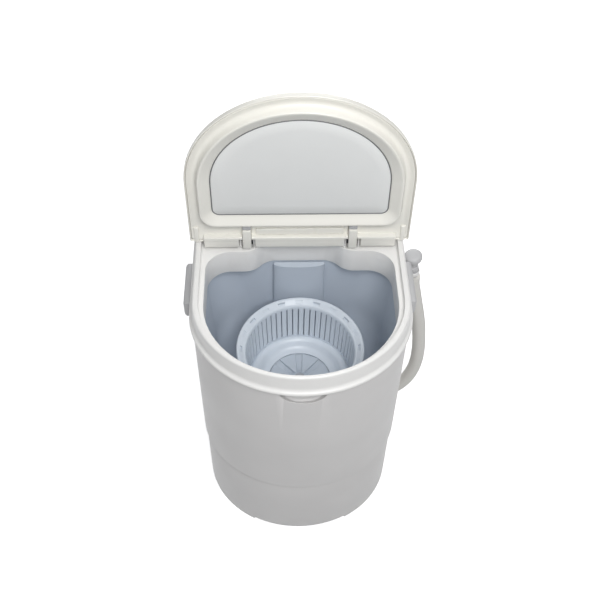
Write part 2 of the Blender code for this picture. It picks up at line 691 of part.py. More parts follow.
# ---------------------------------------------------------------- tub
def tub_ring(share, grow, height):
    """Tub outline: share 0 is the D at its mouth, share 1 the circle at its floor."""
    def mix(mouth, floor):
        return mouth + (floor - mouth) * share
    half = mix(TUB_HALF, TUB_FLOOR_RADIUS) + grow
    front = mix(TUB_FRONT, TUB_FLOOR_RADIUS) + grow
    rear = mix(TUB_REAR, TUB_FLOOR_RADIUS) + grow
    corner = mix(TUB_CORNER, TUB_FLOOR_RADIUS) + grow
    return plan(half, front, rear, corner, height)


def tub():
    """Wash tub: a deep D that narrows to a round bowl."""
    top = RIM_HEIGHT - COLLAR_DROP - GAP
    floor = TUB_FLOOR
    inside = [
        (0.00, top),
        (0.10, top - 0.060),
        (0.25, floor + 0.090),
        (0.50, floor + 0.035),
        (0.75, floor + 0.010),
        (1.00, floor),
    ]
    rings = [tub_ring(share, 0, height) for share, height in reversed(inside)]
    rings += [
        tub_ring(0, TUB_LIP, top),
        tub_ring(0, TUB_LIP, top - TUB_WALL),
        tub_ring(0, TUB_WALL, top - TUB_WALL),
    ]
    rings += [tub_ring(share, TUB_WALL, height - TUB_WALL) for share, height in inside[1:]]
    bowl = loft("tub", rings, "tub")
    cut_round(bowl, "shaft_hole", BUSH_RADIUS + GAP, floor - 0.02, floor + 0.02, 24)
    cut_round(bowl, "drain_hole", HOSE_BORE, floor - 0.02, floor + 0.02, 20, location=(DRAIN_X, DRAIN_Y, 0))
    return bowl


def overflow_cover():
    """Tapered channel cover up the tub's rear wall."""
    top = RIM_HEIGHT - COLLAR_DROP - 0.004
    low = BASKET_RIM - 0.040
    stand = 0.0060
    rows = []
    for height, half in ((low, 0.0400), (top, 0.0430)):
        share = 0.10 * (top - height) / 0.060 if height > top - 0.060 else 0.10 + 0.15 * (
            (top - 0.060 - height) / (top - 0.060 - TUB_FLOOR - 0.090))
        back = TUB_REAR + (TUB_FLOOR_RADIUS - TUB_REAR) * share - 0.0010
        front = back - stand
        rows.append([(-half, back, height), (half, back, height), (half - 0.004, front, height),
                     (-half + 0.004, front, height)])
    return loft("overflow_cover", rows, "tub")


# ---------------------------------------------------------------- basket and pulsator
def basket():
    """Spin basket: funnel rim, slotted wall and a rounded ring round its floor."""
    steps = 2 * BASKET_SLOTS
    rim = BASKET_RIM
    lip = BASKET_RADIUS - BASKET_RIM_WIDTH
    floor = BASKET_FLOOR
    wall_top = rim - 0.0120
    slot_top = rim - 0.0150
    slot_low = floor + 0.0100
    hole = PULSATOR_RADIUS - 0.0085
    thick = 0.0022

    def wall(height):
        return BASKET_WALL_FOOT + (BASKET_WALL_TOP - BASKET_WALL_FOOT) * (height - floor) / (rim - floor)
    inner = [(wall(wall_top) + 0.0010, rim - 0.0070), (wall(slot_top), slot_top), (wall(slot_low), slot_low)]
    foot = BASKET_WALL_FOOT
    ring = [(foot - 0.0035, floor + 0.0120), (foot - 0.0095, floor + 0.0135), (foot - 0.0165, floor + 0.0105),
            (foot - 0.0235, floor + 0.0010), (hole, floor)]
    under = [(hole, floor - thick), (foot - 0.0225, floor - thick), (foot - 0.0155, floor + 0.0080),
             (foot - 0.0095, floor + 0.0110), (foot - 0.0045, floor + 0.0095), (foot - 0.0010, floor + 0.0060)]
    outer = [(wall(slot_low) + thick, slot_low), (wall(slot_top) + thick, slot_top),
             (lip + thick, rim - 0.0095), (BASKET_RADIUS - 0.0010, rim - 0.0035),
             (BASKET_RADIUS, rim - 0.0030), (BASKET_RADIUS, rim - 0.0005), (BASKET_RADIUS - 0.0010, rim),
             (lip + 0.0015, rim - 0.0070), (lip + 0.0010, rim - 0.0060)]
    profile = inner + ring + under + outer
    mesh_data = bmesh.new()
    loops = [[mesh_data.verts.new(point) for point in circle(radius, height, steps)]
             for radius, height in profile]
    slot_inner = 1
    slot_outer = len(inner) + len(ring) + len(under)
    for index, one in enumerate(loops):
        other = loops[(index + 1) % len(loops)]
        for step in range(steps):
            after = (step + 1) % steps
            if index in (slot_inner, slot_outer) and step % 2:
                continue
            mesh_data.faces.new((one[step], one[after], other[after], other[step]))
    for step in range(1, steps, 2):
        after = (step + 1) % steps
        high_in, low_in = loops[slot_inner], loops[slot_inner + 1]
        low_out, high_out = loops[slot_outer], loops[slot_outer + 1]
        mesh_data.faces.new((high_in[step], high_in[after], high_out[after], high_out[step]))
        mesh_data.faces.new((low_in[step], low_in[after], low_out[after], low_out[step]))
        mesh_data.faces.new((high_in[step], low_in[step], low_out[step], high_out[step]))
        mesh_data.faces.new((high_in[after], low_in[after], low_out[after], high_out[after]))
    return finish("spin_basket", mesh_data, "basket")


def pulsator():
    """Vaned disc under the basket, keyed on the drive shaft."""
    top = BASKET_FLOOR - 0.0022 - RUNNING
    profile = [
        (SHAFT_RADIUS + GAP, top - 0.0130),
        (0.0130, top - 0.0130),
        (0.0160, top - 0.0060),
        (PULSATOR_RADIUS, top - 0.0030),
        (PULSATOR_RADIUS, top),
        (0.0170, top),
        (0.0110, top + 0.0075),
        (SHAFT_RADIUS + GAP, top + 0.0075),
    ]
    disc = turned("pulsator", profile, "pulsator", 24, True)
    for vane in range(PULSATOR_VANES):
        turn = 2 * math.pi * vane / PULSATOR_VANES
        blade = block("vane_%d" % vane, (0.0130, -0.0025, top - 0.0010),
                      (PULSATOR_RADIUS - 0.0135, 0.0025, top + 0.0045), "pulsator", rotation=(0, 0, turn))
        combine(disc, blade, "UNION")
    screw_low = top + 0.0075 + GAP
    profile = [
        (SHAFT_RADIUS - 0.001, top + 0.0050 + GAP),
        (SHAFT_RADIUS - 0.001, screw_low),
        (SHAFT_RADIUS + 0.0035, screw_low),
        (SHAFT_RADIUS + 0.0030, screw_low + 0.0025),
    ]
    turned("pulsator_screw", profile, "steel", 16)
    turned("drive_shaft", [(SHAFT_RADIUS, PULLEY_PLANE - 0.012), (SHAFT_RADIUS, top + 0.0050)], "steel", 20)
    bush_top = TUB_FLOOR + 0.0015
    bush_low = TUB_FLOOR - 0.0400
    washer("shaft_bush", SHAFT_RADIUS + GAP, BUSH_RADIUS, bush_low, bush_top, "bronze")
    washer("shaft_seal", SHAFT_RADIUS + GAP, 0.0125, bush_top + GAP, top - 0.0130 - RUNNING, "rubber")
    housing = [
        (BUSH_RADIUS + GAP, bush_low + 0.002),
        (0.0180, bush_low + 0.002),
        (0.0220, TUB_FLOOR - 0.012),
        (0.0400, TUB_FLOOR - TUB_WALL - 0.004),
        (0.0400, TUB_FLOOR - TUB_WALL - GAP),
        (BUSH_RADIUS + GAP, TUB_FLOOR - TUB_WALL - GAP),
    ]
    turned("bearing_housing", housing, "motor", 20, True)


# ---------------------------------------------------------------- drive
def pulley(name, bore, radius, look, steps, **place):
    """Belt pulley with two flanges."""
    half = BELT_HEIGHT / 2 + RUNNING
    flange = radius + BELT_THICKNESS + 0.001
    profile = [
        (bore + 0.0, -half - 0.002),
        (flange, -half - 0.002),
        (flange, -half),
        (radius, -half),
        (radius, half),
        (flange, half),
        (flange, half + 0.002),
        (bore, half + 0.002),
    ]
    return turned(name, profile, look, steps, True, **place)


def belt_ring(grow, height):
    """Loop of tangents round the two pulleys."""
    large = TUB_PULLEY + grow
    small = MOTOR_PULLEY + grow
    lean = math.asin((TUB_PULLEY - MOTOR_PULLEY) / MOTOR_Y)
    points = []
    for step in range(25):
        turn = math.pi - lean + (math.pi + 2 * lean) * step / 24
        points.append((large * math.cos(turn), large * math.sin(turn), height))
    for step in range(11):
        turn = lean + (math.pi - 2 * lean) * step / 10
        points.append((small * math.cos(turn), MOTOR_Y + small * math.sin(turn), height))
    return points


def drive():
    """Pulleys, belt, motor, its bracket and bolts, and the capacitor."""
    pulley("tub_pulley", SHAFT_RADIUS + GAP, TUB_PULLEY, "zinc", 24, location=(0, 0, PULLEY_PLANE))
    pulley("motor_pulley", MOTOR_SHAFT + GAP, MOTOR_PULLEY, "zinc", 16, location=(0, MOTOR_Y, PULLEY_PLANE))
    half = BELT_HEIGHT / 2
    slack = RUNNING
    rings = [belt_ring(slack + thick, PULLEY_PLANE + z) for thick, z in
             ((0, -half), (BELT_THICKNESS, -half), (BELT_THICKNESS, half), (0, half))]
    loft("drive_belt", rings, "rubber", True)
    base = MOTOR_TOP - MOTOR_HEIGHT
    profile = [
        (MOTOR_SHAFT + GAP, base + 0.004),
        (0.0120, base),
        (MOTOR_RADIUS - 0.004, base + 0.002),
        (MOTOR_RADIUS, base + 0.006),
        (MOTOR_RADIUS, MOTOR_TOP - 0.005),
        (MOTOR_RADIUS - 0.003, MOTOR_TOP - GAP),
        (MOTOR_SHAFT + GAP, MOTOR_TOP - GAP),
    ]
    turned("motor_can", profile, "motor", 20, True, location=(0, MOTOR_Y, 0))
    turned("motor_shaft", [(MOTOR_SHAFT, base + 0.006), (MOTOR_SHAFT, PULLEY_PLANE + 0.010)], "steel", 16,
           location=(0, MOTOR_Y, 0))
    leg = MOTOR_RADIUS + 0.012
    low = PLATE_HEIGHT + WALL + GAP
    bracket = block("motor_bracket", (-leg, MOTOR_Y - 0.045, low), (leg, MOTOR_Y + 0.045, MOTOR_TOP + WALL),
                    "zinc")
    inner = leg - WALL
    cut_block(bracket, "bracket_space", (-inner, MOTOR_Y - 0.05, low - 0.01),
              (inner, MOTOR_Y + 0.05, MOTOR_TOP))
    cut_round(bracket, "neck_hole", MOTOR_SHAFT + 0.004, MOTOR_TOP - 0.01, MOTOR_TOP + 0.01, 16,
              location=(0, MOTOR_Y, 0))
    number = 0
    for x in (-MOTOR_BOLT_X, MOTOR_BOLT_X):
        for y in (-0.024, 0.024):
            number += 1
            place = {"location": (x, MOTOR_Y + y, MOTOR_TOP)}
            cut_round(bracket, "bolt_hole_%d" % number, 0.0024, -0.01, 0.01, 12, **place)
            top = WALL + GAP
            profile = [(0.0020, GAP), (0.0020, top), (0.0042, top), (0.0038, top + 0.0030)]
            turned("motor_bolt_%d" % number, profile, "zinc", 12, **place)
    turned("capacitor", [(0.0165, low), (0.0180, low + 0.0015), (0.0180, low + 0.0500), (0.0165, low + 0.0515)],
           "grip", 20, location=(-0.1050, 0.0600, 0))


# ---------------------------------------------------------------- drain, gland, grips


def tube(name, route, radius, look, resolution=3):
    """Round tube along a route, with closed ends."""
    curve = bpy.data.curves.new(name, "CURVE")
    curve.dimensions = "3D"
    curve.bevel_depth = radius
    curve.bevel_resolution = resolution
    curve.use_fill_caps = True
    line = curve.splines.new("POLY")
    line.points.add(len(route) - 1)
    for point, place in zip(line.points, route):
        point.co = (*place, 1)
    piece = bpy.data.objects.new(name, curve)
    bpy.context.collection.objects.link(piece)
    add_material(piece, look)
    return piece


def drain():
    """Drain fitting, inner pipe, spigot, hose, end cap and the hose holder."""
    elbow_top = TUB_FLOOR - TUB_WALL - GAP
    elbow = [(DRAIN_X, DRAIN_Y, elbow_top), (DRAIN_X, DRAIN_Y, elbow_top - 0.012),
             (DRAIN_X + 0.006, DRAIN_Y + 0.004, elbow_top - 0.024)]
    tube("drain_elbow", elbow, HOSE_BORE + 0.002, "tub")
    pipe_start = Vector(elbow[-1]) + Vector((0.0006, 0.0004, -0.0012))
    end_x, end_y, end_z = SPIGOT_ROUTE[0]
    pipe = [
        tuple(pipe_start),
        (DRAIN_X + 0.0190, DRAIN_Y + 0.0130, elbow_top - 0.0595),
        (DRAIN_X + 0.0330, DRAIN_Y + 0.0330, elbow_top - 0.1095),
        (end_x - 0.0230, end_y - 0.0200, end_z + 0.0600),
        (end_x - 0.0200, end_y - 0.0070, end_z + 0.0300),
        (end_x - 0.0170, end_y - 0.0015, end_z + 0.0120),
        (end_x - 0.0115, end_y, end_z + 0.0025),
        (end_x - 0.0065, end_y, end_z),
        (end_x - 0.0005, end_y, end_z),
    ]
    tube("drain_pipe", pipe, HOSE_BORE, "black")
    tube("drain_spigot", SPIGOT_ROUTE, HOSE_BORE, "collar")
    tube("drain_hose", HOSE_ROUTE, HOSE_RADIUS, "hose")
    top_x, top_y, top_z = HOSE_ROUTE[-1]
    lean = math.atan2(-0.0050, 0.048)
    place = {"location": (top_x, top_y, top_z), "rotation": (0, lean, 0)}
    profile = [
        (NECK_RADIUS, 0.0020),
        (NECK_RADIUS, 0.0480),
        (HOSE_CAP - 0.0020, 0.0500),
        (HOSE_CAP, 0.0525),
        (HOSE_CAP, 0.0560),
        (HOSE_CAP - 0.0030, 0.0580),
    ]
    turned("hose_end_cap", profile, "grip", 20, **place)
    holder = washer("hose_holder", NECK_RADIUS + RUNNING, NECK_RADIUS + 0.0035, 0.0080, 0.0260, "collar",
                    20, **place)
    wall_x = HALF_WIDTH + LIP_GROW * (SHOULDER_HEIGHT - top_z - 0.017) / (SHOULDER_HEIGHT - SEAM_HEIGHT)
    arm = block("holder_arm", (wall_x + GAP, top_y - 0.0070, top_z + 0.0100),
                (top_x - NECK_RADIUS - 0.0032, top_y + 0.0070, top_z + 0.0240), "collar")
    combine(holder, arm, "UNION")


def cord_gland():
    """Bush for the mains lead in the rear wall."""
    wall_y = REAR_DEPTH + BASE_GROW_FOOT
    outer = 0.0120
    profile = [
        (0.0035, 0.0045),
        (GLAND_NECK - 0.001, 0.0045),
        (GLAND_NECK, 0.002),
        (outer, 0.002),
        (outer, -0.0002),
        (GLAND_NECK, -0.0002),
        (GLAND_NECK, -0.008),
        (0.0035, -0.008),
    ]
    turned("cord_gland", profile, "black", 16, True, location=(GLAND_X, wall_y + RUNNING, GLAND_Z),
           rotation=(-math.pi / 2, 0, 0))


def side_grips():
    """Carrying grips: hollow ledges, open below."""
    low = GRIP_TOP - GRIP_DROP
    wall_x = HALF_WIDTH + LIP_GROW * (SHOULDER_HEIGHT - low) / (SHOULDER_HEIGHT - SEAM_HEIGHT) + GAP
    reach = HALF_WIDTH + GRIP_REACH
    for side, word in ((-1, "left"), (1, "right")):
        xs = sorted((side * wall_x, side * reach))
        grip = block("side_grip_" + word, (xs[0], GRIP_FRONT, low), (xs[1], GRIP_REAR, GRIP_TOP), "grip", 0.0030)
        inner = sorted((side * (wall_x + 0.0020), side * (reach - GRIP_WALL)))
        cut_block(grip, "grip_pocket_" + word, (inner[0], GRIP_FRONT + GRIP_WALL, low - 0.01),
                  (inner[1], GRIP_REAR - GRIP_WALL, GRIP_TOP - GRIP_WALL))


base_shell()
upper_shell()
front_scoop()
bottom_plate()
feet()
top_collar()
hinge_brackets()
hang_lid(lid_parts())
console()
tub()
overflow_cover()
basket()
pulsator()
drive()
drain()
cord_gland()
side_grips()

# Move the drum's axis forward, so that the origin is under the cabinet's middle.
for scene_object in bpy.data.objects:
    if scene_object.parent is None:
        scene_object.location.y -= (REAR_DEPTH - FRONT_DEPTH) / 2
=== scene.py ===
"""Mini top load washing machine: the finished look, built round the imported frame.

Metres, +Z up. Pieces are modelled about the drum's vertical axis, and the lid's pieces
closed and about the hinge axis; settle() then puts each in its place.
"""
import math

import bmesh
import bpy
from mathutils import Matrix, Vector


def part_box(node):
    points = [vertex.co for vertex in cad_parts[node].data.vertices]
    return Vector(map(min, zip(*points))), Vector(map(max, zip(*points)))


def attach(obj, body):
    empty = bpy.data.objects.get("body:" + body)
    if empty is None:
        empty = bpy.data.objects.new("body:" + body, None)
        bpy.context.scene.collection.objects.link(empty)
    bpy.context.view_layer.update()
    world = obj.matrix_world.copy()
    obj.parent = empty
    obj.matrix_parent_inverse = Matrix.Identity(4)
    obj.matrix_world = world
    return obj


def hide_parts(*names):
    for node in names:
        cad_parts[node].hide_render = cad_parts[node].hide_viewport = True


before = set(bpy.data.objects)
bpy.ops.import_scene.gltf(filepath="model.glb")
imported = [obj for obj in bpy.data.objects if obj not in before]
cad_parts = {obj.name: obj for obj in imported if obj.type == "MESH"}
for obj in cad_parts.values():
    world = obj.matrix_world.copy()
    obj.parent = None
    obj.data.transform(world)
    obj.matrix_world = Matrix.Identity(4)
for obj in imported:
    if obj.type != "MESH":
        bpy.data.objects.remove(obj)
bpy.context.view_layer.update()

# ---------------------------------------------------------------- sizes
basket_low, basket_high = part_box("spin_basket")
DRUM_Y = (basket_low[1] + basket_high[1]) / 2       # the drum's axis
TINY = 0.00001
GAP = 0.0003
WALL = 0.0025
RING = 96                                           # points round a moulded outline
EDGE_ANGLE = math.radians(35)                       # sharper edges are rounded, flatter ones shaded smooth

# Cabinet
HALF_WIDTH = 0.1757
FRONT_DEPTH = 0.1551
REAR_DEPTH = 0.1980
REAR_CORNER = 0.0500
RIM_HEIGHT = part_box("top_collar")[1][2]
SHOULDER_HEIGHT = RIM_HEIGHT - 0.0409
SEAM_HEIGHT = 0.1775
SHELL_LAP = 0.0125
SKIRT_CLEAR = 0.0020
SKIRT_NOTCH = 0.0060
NOTCH_HALF = 0.0870
FOOT_GROW = -0.0011
LIP_GROW = 0.0014
SHOULDER_GROW = 0.0043
RIM_GROW = -0.0042
GRIP_FRONT = 0.0350
GRIP_REAR = 0.1240
GRIP_LOW = 0.4300
GRIP_HIGH = 0.4625
GRIP_REACH = 0.0185
FOOT_X = HALF_WIDTH - 0.0557
FOOT_FRONT_Y = 0.0801 - FRONT_DEPTH
FOOT_REAR_Y = REAR_DEPTH - 0.0530

# Hinge axis, behind the drum's axis and above the rim
HINGE_Y = REAR_DEPTH - 0.0742
HINGE_RISE = 0.0065

# Opening in the collar, and the sunken deck round it
OPENING_HALF = HALF_WIDTH - 0.0202
OPENING_FRONT = FRONT_DEPTH - 0.0141
OPENING_REAR = HINGE_Y + 0.0092
OPENING_CORNER = 0.0400
BOSS_FACE = HINGE_Y - 0.0153                        # front of the hinge bosses beside the opening
DECK_HALF = OPENING_HALF + 0.0080
DECK_FRONT = OPENING_FRONT + 0.0055
DECK_REAR = HINGE_Y + 0.0132
LEDGE_DEPTH = 0.0115
COLLAR_FOOT = RIM_HEIGHT - 0.0615

# Tub, basket and pulsator
TUB_MOUTH = (OPENING_HALF + 0.0025, OPENING_FRONT + 0.0025, OPENING_REAR, 0.0500)
TUB_FLOOR = 0.2620
TUB_FOOT_RADIUS = 0.1180
TUB_BOWL = 0.0900                                   # height of the tub's rounded foot
TUB_STRAIGHT_SHARE = 0.25                           # how far the mouth has narrowed above the rounded foot
BASKET_FLOOR = TUB_FLOOR + 0.0260
BASKET_COLUMNS = 280
SLOT_COLUMNS = 5                                    # 56 slots round the wall
NOTCH_COLUMNS = 14                                  # 20 notches round the rim
PULSATOR_TOP = 0.2853
PULSATOR_VANES = 8

# Lid, measured from the hinge axis with the lid closed
LID_LEAN = math.radians(2.9)
LID_HALF = HALF_WIDTH + 0.0053
LID_STRAIGHT = HINGE_Y - 0.0008
LID_ARC = FRONT_DEPTH + 0.0049
LID_HEEL = 0.0020
LID_EDGE = -0.0060                                  # the lid's free edge
RIDGE_TIP = LID_EDGE - 0.0105
CLIP_X = 0.0870
CLIP_WIDTH = 0.0140
CRADLE_HALF = 0.0125                                # hinge cradle round each clip
CRADLE_FRONT = HINGE_Y - 0.0093
CRADLE_REAR = HINGE_Y + 0.0097
CRADLE_DEPTH = 0.0190
# Hooks beside the hinge clips: black blocks that paint the shadow pockets there (painted shade).
HOOK_SHADOW_SIDE = 0.0073                                  # from the clip's middle; inside the cradle's ear
HOOK_SHADOW_WIDTH = 0.0024
POST_INNER = 0.1655
POST_OUTER = 0.1735

# Console
CONSOLE_HALF = HALF_WIDTH - 0.0157
CONSOLE_FRONT = DECK_REAR + 0.0025
CONSOLE_REAR = REAR_DEPTH - 0.0050
CONSOLE_HEIGHT = 0.0140
KNOB_Y = CONSOLE_REAR - 0.0260
KNURLS = 40

# Route of the hose's centre line, from the spigot up to the holder
HOSE_ROUTE = [
    (0.1970, 0.1280, 0.0560),
    (0.2115, 0.1282, 0.0715),
    (0.2250, 0.1290, 0.0930),
    (0.2340, 0.1303, 0.1190),
    (0.2388, 0.1320, 0.1480),
    (0.2396, 0.1338, 0.1780),
    (0.2380, 0.1355, 0.2080),
    (0.2346, 0.1368, 0.2390),
    (0.2302, 0.1378, 0.2700),
    (0.2243, 0.1386, 0.3000),
    (0.2177, 0.1392, 0.3300),
    (0.2114, 0.1397, 0.3590),
    (0.2060, 0.1400, 0.3850),
    (0.2043, 0.1400, 0.4060),
]
HOSE_RADIUS = 0.0130


# ---------------------------------------------------------------- camera, floor and light
def camera():
    """Camera above the front, looking down into the tub."""
    data = bpy.data.cameras.new("camera")
    data.lens = 51.6
    data.sensor_width = 36.0
    eye = bpy.data.objects.new("camera", data)
    eye.location = (-0.03525, -0.87121, 1.57557)
    eye.rotation_euler = (math.radians(38.690), math.radians(-0.7214), math.radians(-1.3264))
    bpy.context.collection.objects.link(eye)
    bpy.context.scene.camera = eye


def softbox(name, place, aim, size, power):
    """Square studio light turned towards a point."""
    data = bpy.data.lights.new(name, "AREA")
    data.size = size
    data.energy = power
    light = bpy.data.objects.new(name, data)
    light.location = place
    away = [b - a for a, b in zip(aim, place)]
    flat = math.hypot(away[0], away[1])
    light.rotation_euler = (math.atan2(flat, away[2]), 0, math.atan2(away[0], -away[1]))
    bpy.context.collection.objects.link(light)


def studio():
    """White floor; the main light stands close to the camera, with weak lights above and behind."""
    bpy.ops.object.select_all(action="DESELECT")
    bpy.ops.mesh.primitive_plane_add(size=12.0, location=(0, 0, 0))
    floor = bpy.context.object
    floor.name = "studio_floor"
    material = bpy.data.materials.new("white_studio_paper")
    material.use_nodes = True
    shader = material.node_tree.nodes["Principled BSDF"]
    shader.inputs["Base Color"].default_value = colour("#FDFDFD")
    shader.inputs["Roughness"].default_value = 0.9
    shader.inputs["Emission Color"].default_value = (1, 1, 1, 1)
    shader.inputs["Emission Strength"].default_value = 0.55
    floor.data.materials.append(material)
    floor.visible_diffuse = False
    world = bpy.data.worlds.new("studio")
    world.use_nodes = True
    world.node_tree.nodes["Background"].inputs["Color"].default_value = (0.96, 0.98, 1, 1)
    world.node_tree.nodes["Background"].inputs["Strength"].default_value = 0.30
    bpy.context.scene.world = world
    bpy.context.scene.view_settings.view_transform = "Standard"
    aim = (0, 0, 0.40)
    softbox("key", (0.20, -0.95, 1.85), aim, 0.7, 20)
    softbox("top", (0.0, 0.1, 2.7), aim, 1.8, 6)
    softbox("back", (0.0, 2.00, 1.00), aim, 1.4, 16)


# ---------------------------------------------------------------- materials
def colour(code):
    """A hex sRGB colour as linear red, green, blue and alpha."""
    parts = [int(code[index:index + 2], 16) / 255 for index in (1, 3, 5)]
    linear = [part / 12.92 if part <= 0.04045 else ((part + 0.055) / 1.055) ** 2.4 for part in parts]
    return (*linear, 1.0)


def node(tree, kind, links=None, **settings):
    """Add a node; settings name its sockets or properties, links name what feeds its sockets."""
    item = tree.nodes.new(kind)
    for key, value in settings.items():
        if key in item.inputs.keys():
            item.inputs[key].default_value = value
        elif key.replace("_", " ") in item.inputs.keys():
            item.inputs[key.replace("_", " ")].default_value = value
        else:
            setattr(item, key, value)
    for key, (source, socket) in (links or {}).items():
        tree.links.new(source.outputs[socket], item.inputs[key])
    return item


def moulded(name, code, shade_code, roughness, grain_mm=1.2, depth_mm=0.05, ior=1.5, metallic=0.0):
    """Injection-moulded or painted surface: soft tone change, fine grain and uneven gloss."""
    material = bpy.data.materials.new(name)
    material.use_nodes = True
    tree = material.node_tree
    shader = tree.nodes["Principled BSDF"]
    shader.inputs["Roughness"].default_value = roughness
    shader.inputs["Metallic"].default_value = metallic
    if not metallic:
        shader.inputs["IOR"].default_value = ior
    place = node(tree, "ShaderNodeTexCoord")
    cloud = node(tree, "ShaderNodeTexNoise", {"Vector": (place, "Object")}, Scale=14.0, Detail=2.0)
    tone = node(tree, "ShaderNodeMix", {"Factor": (cloud, "Fac")}, data_type="RGBA")
    tone.inputs[6].default_value = colour(code)
    tone.inputs[7].default_value = colour(shade_code)
    tree.links.new(tone.outputs[2], shader.inputs["Base Color"])
    gloss = node(tree, "ShaderNodeMapRange", {"Value": (cloud, "Fac")})
    gloss.inputs["To Min"].default_value = roughness - 0.05
    gloss.inputs["To Max"].default_value = roughness + 0.05
    tree.links.new(gloss.outputs["Result"], shader.inputs["Roughness"])
    grain = node(tree, "ShaderNodeTexNoise", {"Vector": (place, "Object")}, Scale=1000 / grain_mm, Detail=1.0)
    bump = node(tree, "ShaderNodeBump", {"Height": (grain, "Fac")}, Strength=0.25, Distance=depth_mm / 1000)
    tree.links.new(bump.outputs["Normal"], shader.inputs["Normal"])
    return material


def make_materials():
    """One finish for each kind of piece."""
    return {
        # Moulded ABS, off-white: satin, with a faint spark-eroded grain
        "cabinet": moulded("abs_satin_off_white", "#DAD8D7", "#D4D2D1", 0.42, 1.4, 0.06),
        # Moulded ABS, white: smoother, so the rounded rim catches a soft line of light
        "collar": moulded("abs_smooth_white", "#EEEDEB", "#E9E8E6", 0.32, 1.8, 0.03),
        # Moulded ABS, ivory white: warm tone, soft gloss
        "lid": moulded("abs_smooth_ivory", "#EFEDE6", "#EAE8E0", 0.34, 1.8, 0.03),
        # Polypropylene panel, cool grey: matt with a fine grain
        "panel": moulded("polypropylene_matt_grey", "#E6E7E6", "#E1E2E1", 0.50, 1.0, 0.06),
        # Thermoplastic elastomer, dark grey: a thin dull line round the lid's panel
        "seal": moulded("tpe_dark_grey_seal", "#77787A", "#707173", 0.55, 0.8, 0.04),
        # Polypropylene tub, blue grey: waxy, broad soft reflections
        "tub": moulded("polypropylene_blue_grey", "#C2CBD6", "#BCC5D1", 0.36, 2.0, 0.04, 1.49),
        # Polypropylene basket, pale cool grey: a little clearer than the tub
        "basket": moulded("polypropylene_pale_blue", "#D3DAE2", "#CDD5DE", 0.34, 2.0, 0.03, 1.49),
        # Polypropylene pulsator, cool grey: a shade darker than the basket round it
        "pulsator": moulded("polypropylene_cool_grey", "#C3CBD4", "#BCC4CE", 0.34, 2.0, 0.03, 1.49),
        # Polypropylene grips, cap and knob, mid grey: matt, with a fine spark-eroded grain
        "grip": moulded("polypropylene_mid_grey", "#C6C6C7", "#BFBFC0", 0.46, 1.0, 0.06),
        # Extruded soft PVC hose, warm light grey: dull, with a long soft highlight
        "hose": moulded("pvc_hose_warm_grey", "#E4E2DD", "#DDDBD5", 0.45, 1.6, 0.05),
        # Moulded black rubber on the feet, belt and shaft seal: almost no shine
        "rubber": moulded("rubber_black_moulded", "#232325", "#1D1D1F", 0.72, 0.8, 0.08),
        # Textured black ABS on the gland, timer case and drain pipe: low satin. On the lid's hooks this black
        # is painted shade for the shadow pockets beside the hinge clips
        "black": moulded("abs_black_textured", "#2A2A2C", "#242426", 0.48, 0.7, 0.08),
        # Turned bright steel on the shafts, pins and screw: clear reflections
        "steel": moulded("steel_turned_bright", "#C9CACC", "#BDBEC1", 0.28, 0.5, 0.02, metallic=1.0),
        # Zinc-plated steel on the pulleys, bracket and bolts: soft bluish gleam
        "zinc": moulded("steel_zinc_plated", "#C4C8CC", "#B2B7BD", 0.38, 1.5, 0.03, metallic=1.0),
        # Grey painted steel on the motor can and bearing housing: plain satin paint
        "motor": moulded("steel_grey_painted", "#8C8E91", "#84868A", 0.45, 1.2, 0.08),
        # Sintered bronze bush: warm metal, dull from its open grain
        "bronze": moulded("bronze_sintered", "#B08850", "#A07840", 0.45, 0.4, 0.05, metallic=1.0),
    }


# ---------------------------------------------------------------- modelling steps
def start(name):
    """Begin a piece as an empty mesh in edit mode."""
    bpy.ops.object.select_all(action="DESELECT")
    bpy.ops.object.add(type="MESH", location=(0, 0, 0))
    piece = bpy.context.object
    piece.name = name
    piece.data.name = name
    bpy.ops.object.mode_set(mode="EDIT")
    bpy.ops.mesh.select_mode(type="VERT")
    return piece


def stop():
    """Leave edit mode."""
    bpy.ops.object.mode_set(mode="OBJECT")


def edit(piece):
    """Go back to a piece in edit mode."""
    bpy.ops.object.select_all(action="DESELECT")
    piece.select_set(True)
    bpy.context.view_layer.objects.active = piece
    bpy.ops.object.mode_set(mode="EDIT")


def pick(kind, test):
    """Select only the faces, edges or points that pass a test."""
    bpy.ops.mesh.select_mode(type=kind)
    bpy.ops.mesh.select_all(action="DESELECT")
    mesh = bpy.context.object.data
    shape = bmesh.from_edit_mesh(mesh)
    shape.verts.index_update()
    chosen = {"VERT": shape.verts, "EDGE": shape.edges, "FACE": shape.faces}[kind]
    for item in chosen:
        if test(item):
            item.select_set(True)
    shape.select_flush_mode()
    bmesh.update_edit_mesh(mesh)


def middle(item):
    """Middle of an edge or face."""
    points = [corner.co for corner in item.verts]
    return sum(points[1:], points[0].copy()) / len(points)


def move(x=0.0, y=0.0, z=0.0):
    """Shift what is selected."""
    bpy.ops.transform.translate(value=(x, y, z))


def scale(x, y, z, centre):
    """Stretch what is selected about a point."""
    bpy.ops.transform.resize(value=(x, y, z), center_override=centre)


def ring(half, front, rear, corner, height):
    """Add a D-shaped loop: half an ellipse in front, straight sides, round rear corners."""
    centre = (0, 0, height)
    bpy.ops.mesh.primitive_circle_add(vertices=RING, radius=1.0, location=centre)
    scale(half, front, 1, centre)
    for side in (-1, 1):
        pick("VERT", lambda v: side * v.co.x > TINY and v.co.y > TINY)
        scale(corner / half, corner / front, 1, centre)
        move(side * (half - corner), rear - corner)
    pick("VERT", lambda v: abs(v.co.x) <= TINY and v.co.y > 0)
    move(y=rear - front)


def outline(turn, half, front, rear, corner):
    """Point of a D-shaped outline: half an ellipse in front, straight sides, round rear corners."""
    x = math.cos(turn)
    y = math.sin(turn)
    if y < TINY:
        return half * x, front * y
    if abs(x) < TINY:
        return 0.0, rear
    side = math.copysign(1, x)
    return side * (half - corner) + corner * x, rear - corner + corner * y


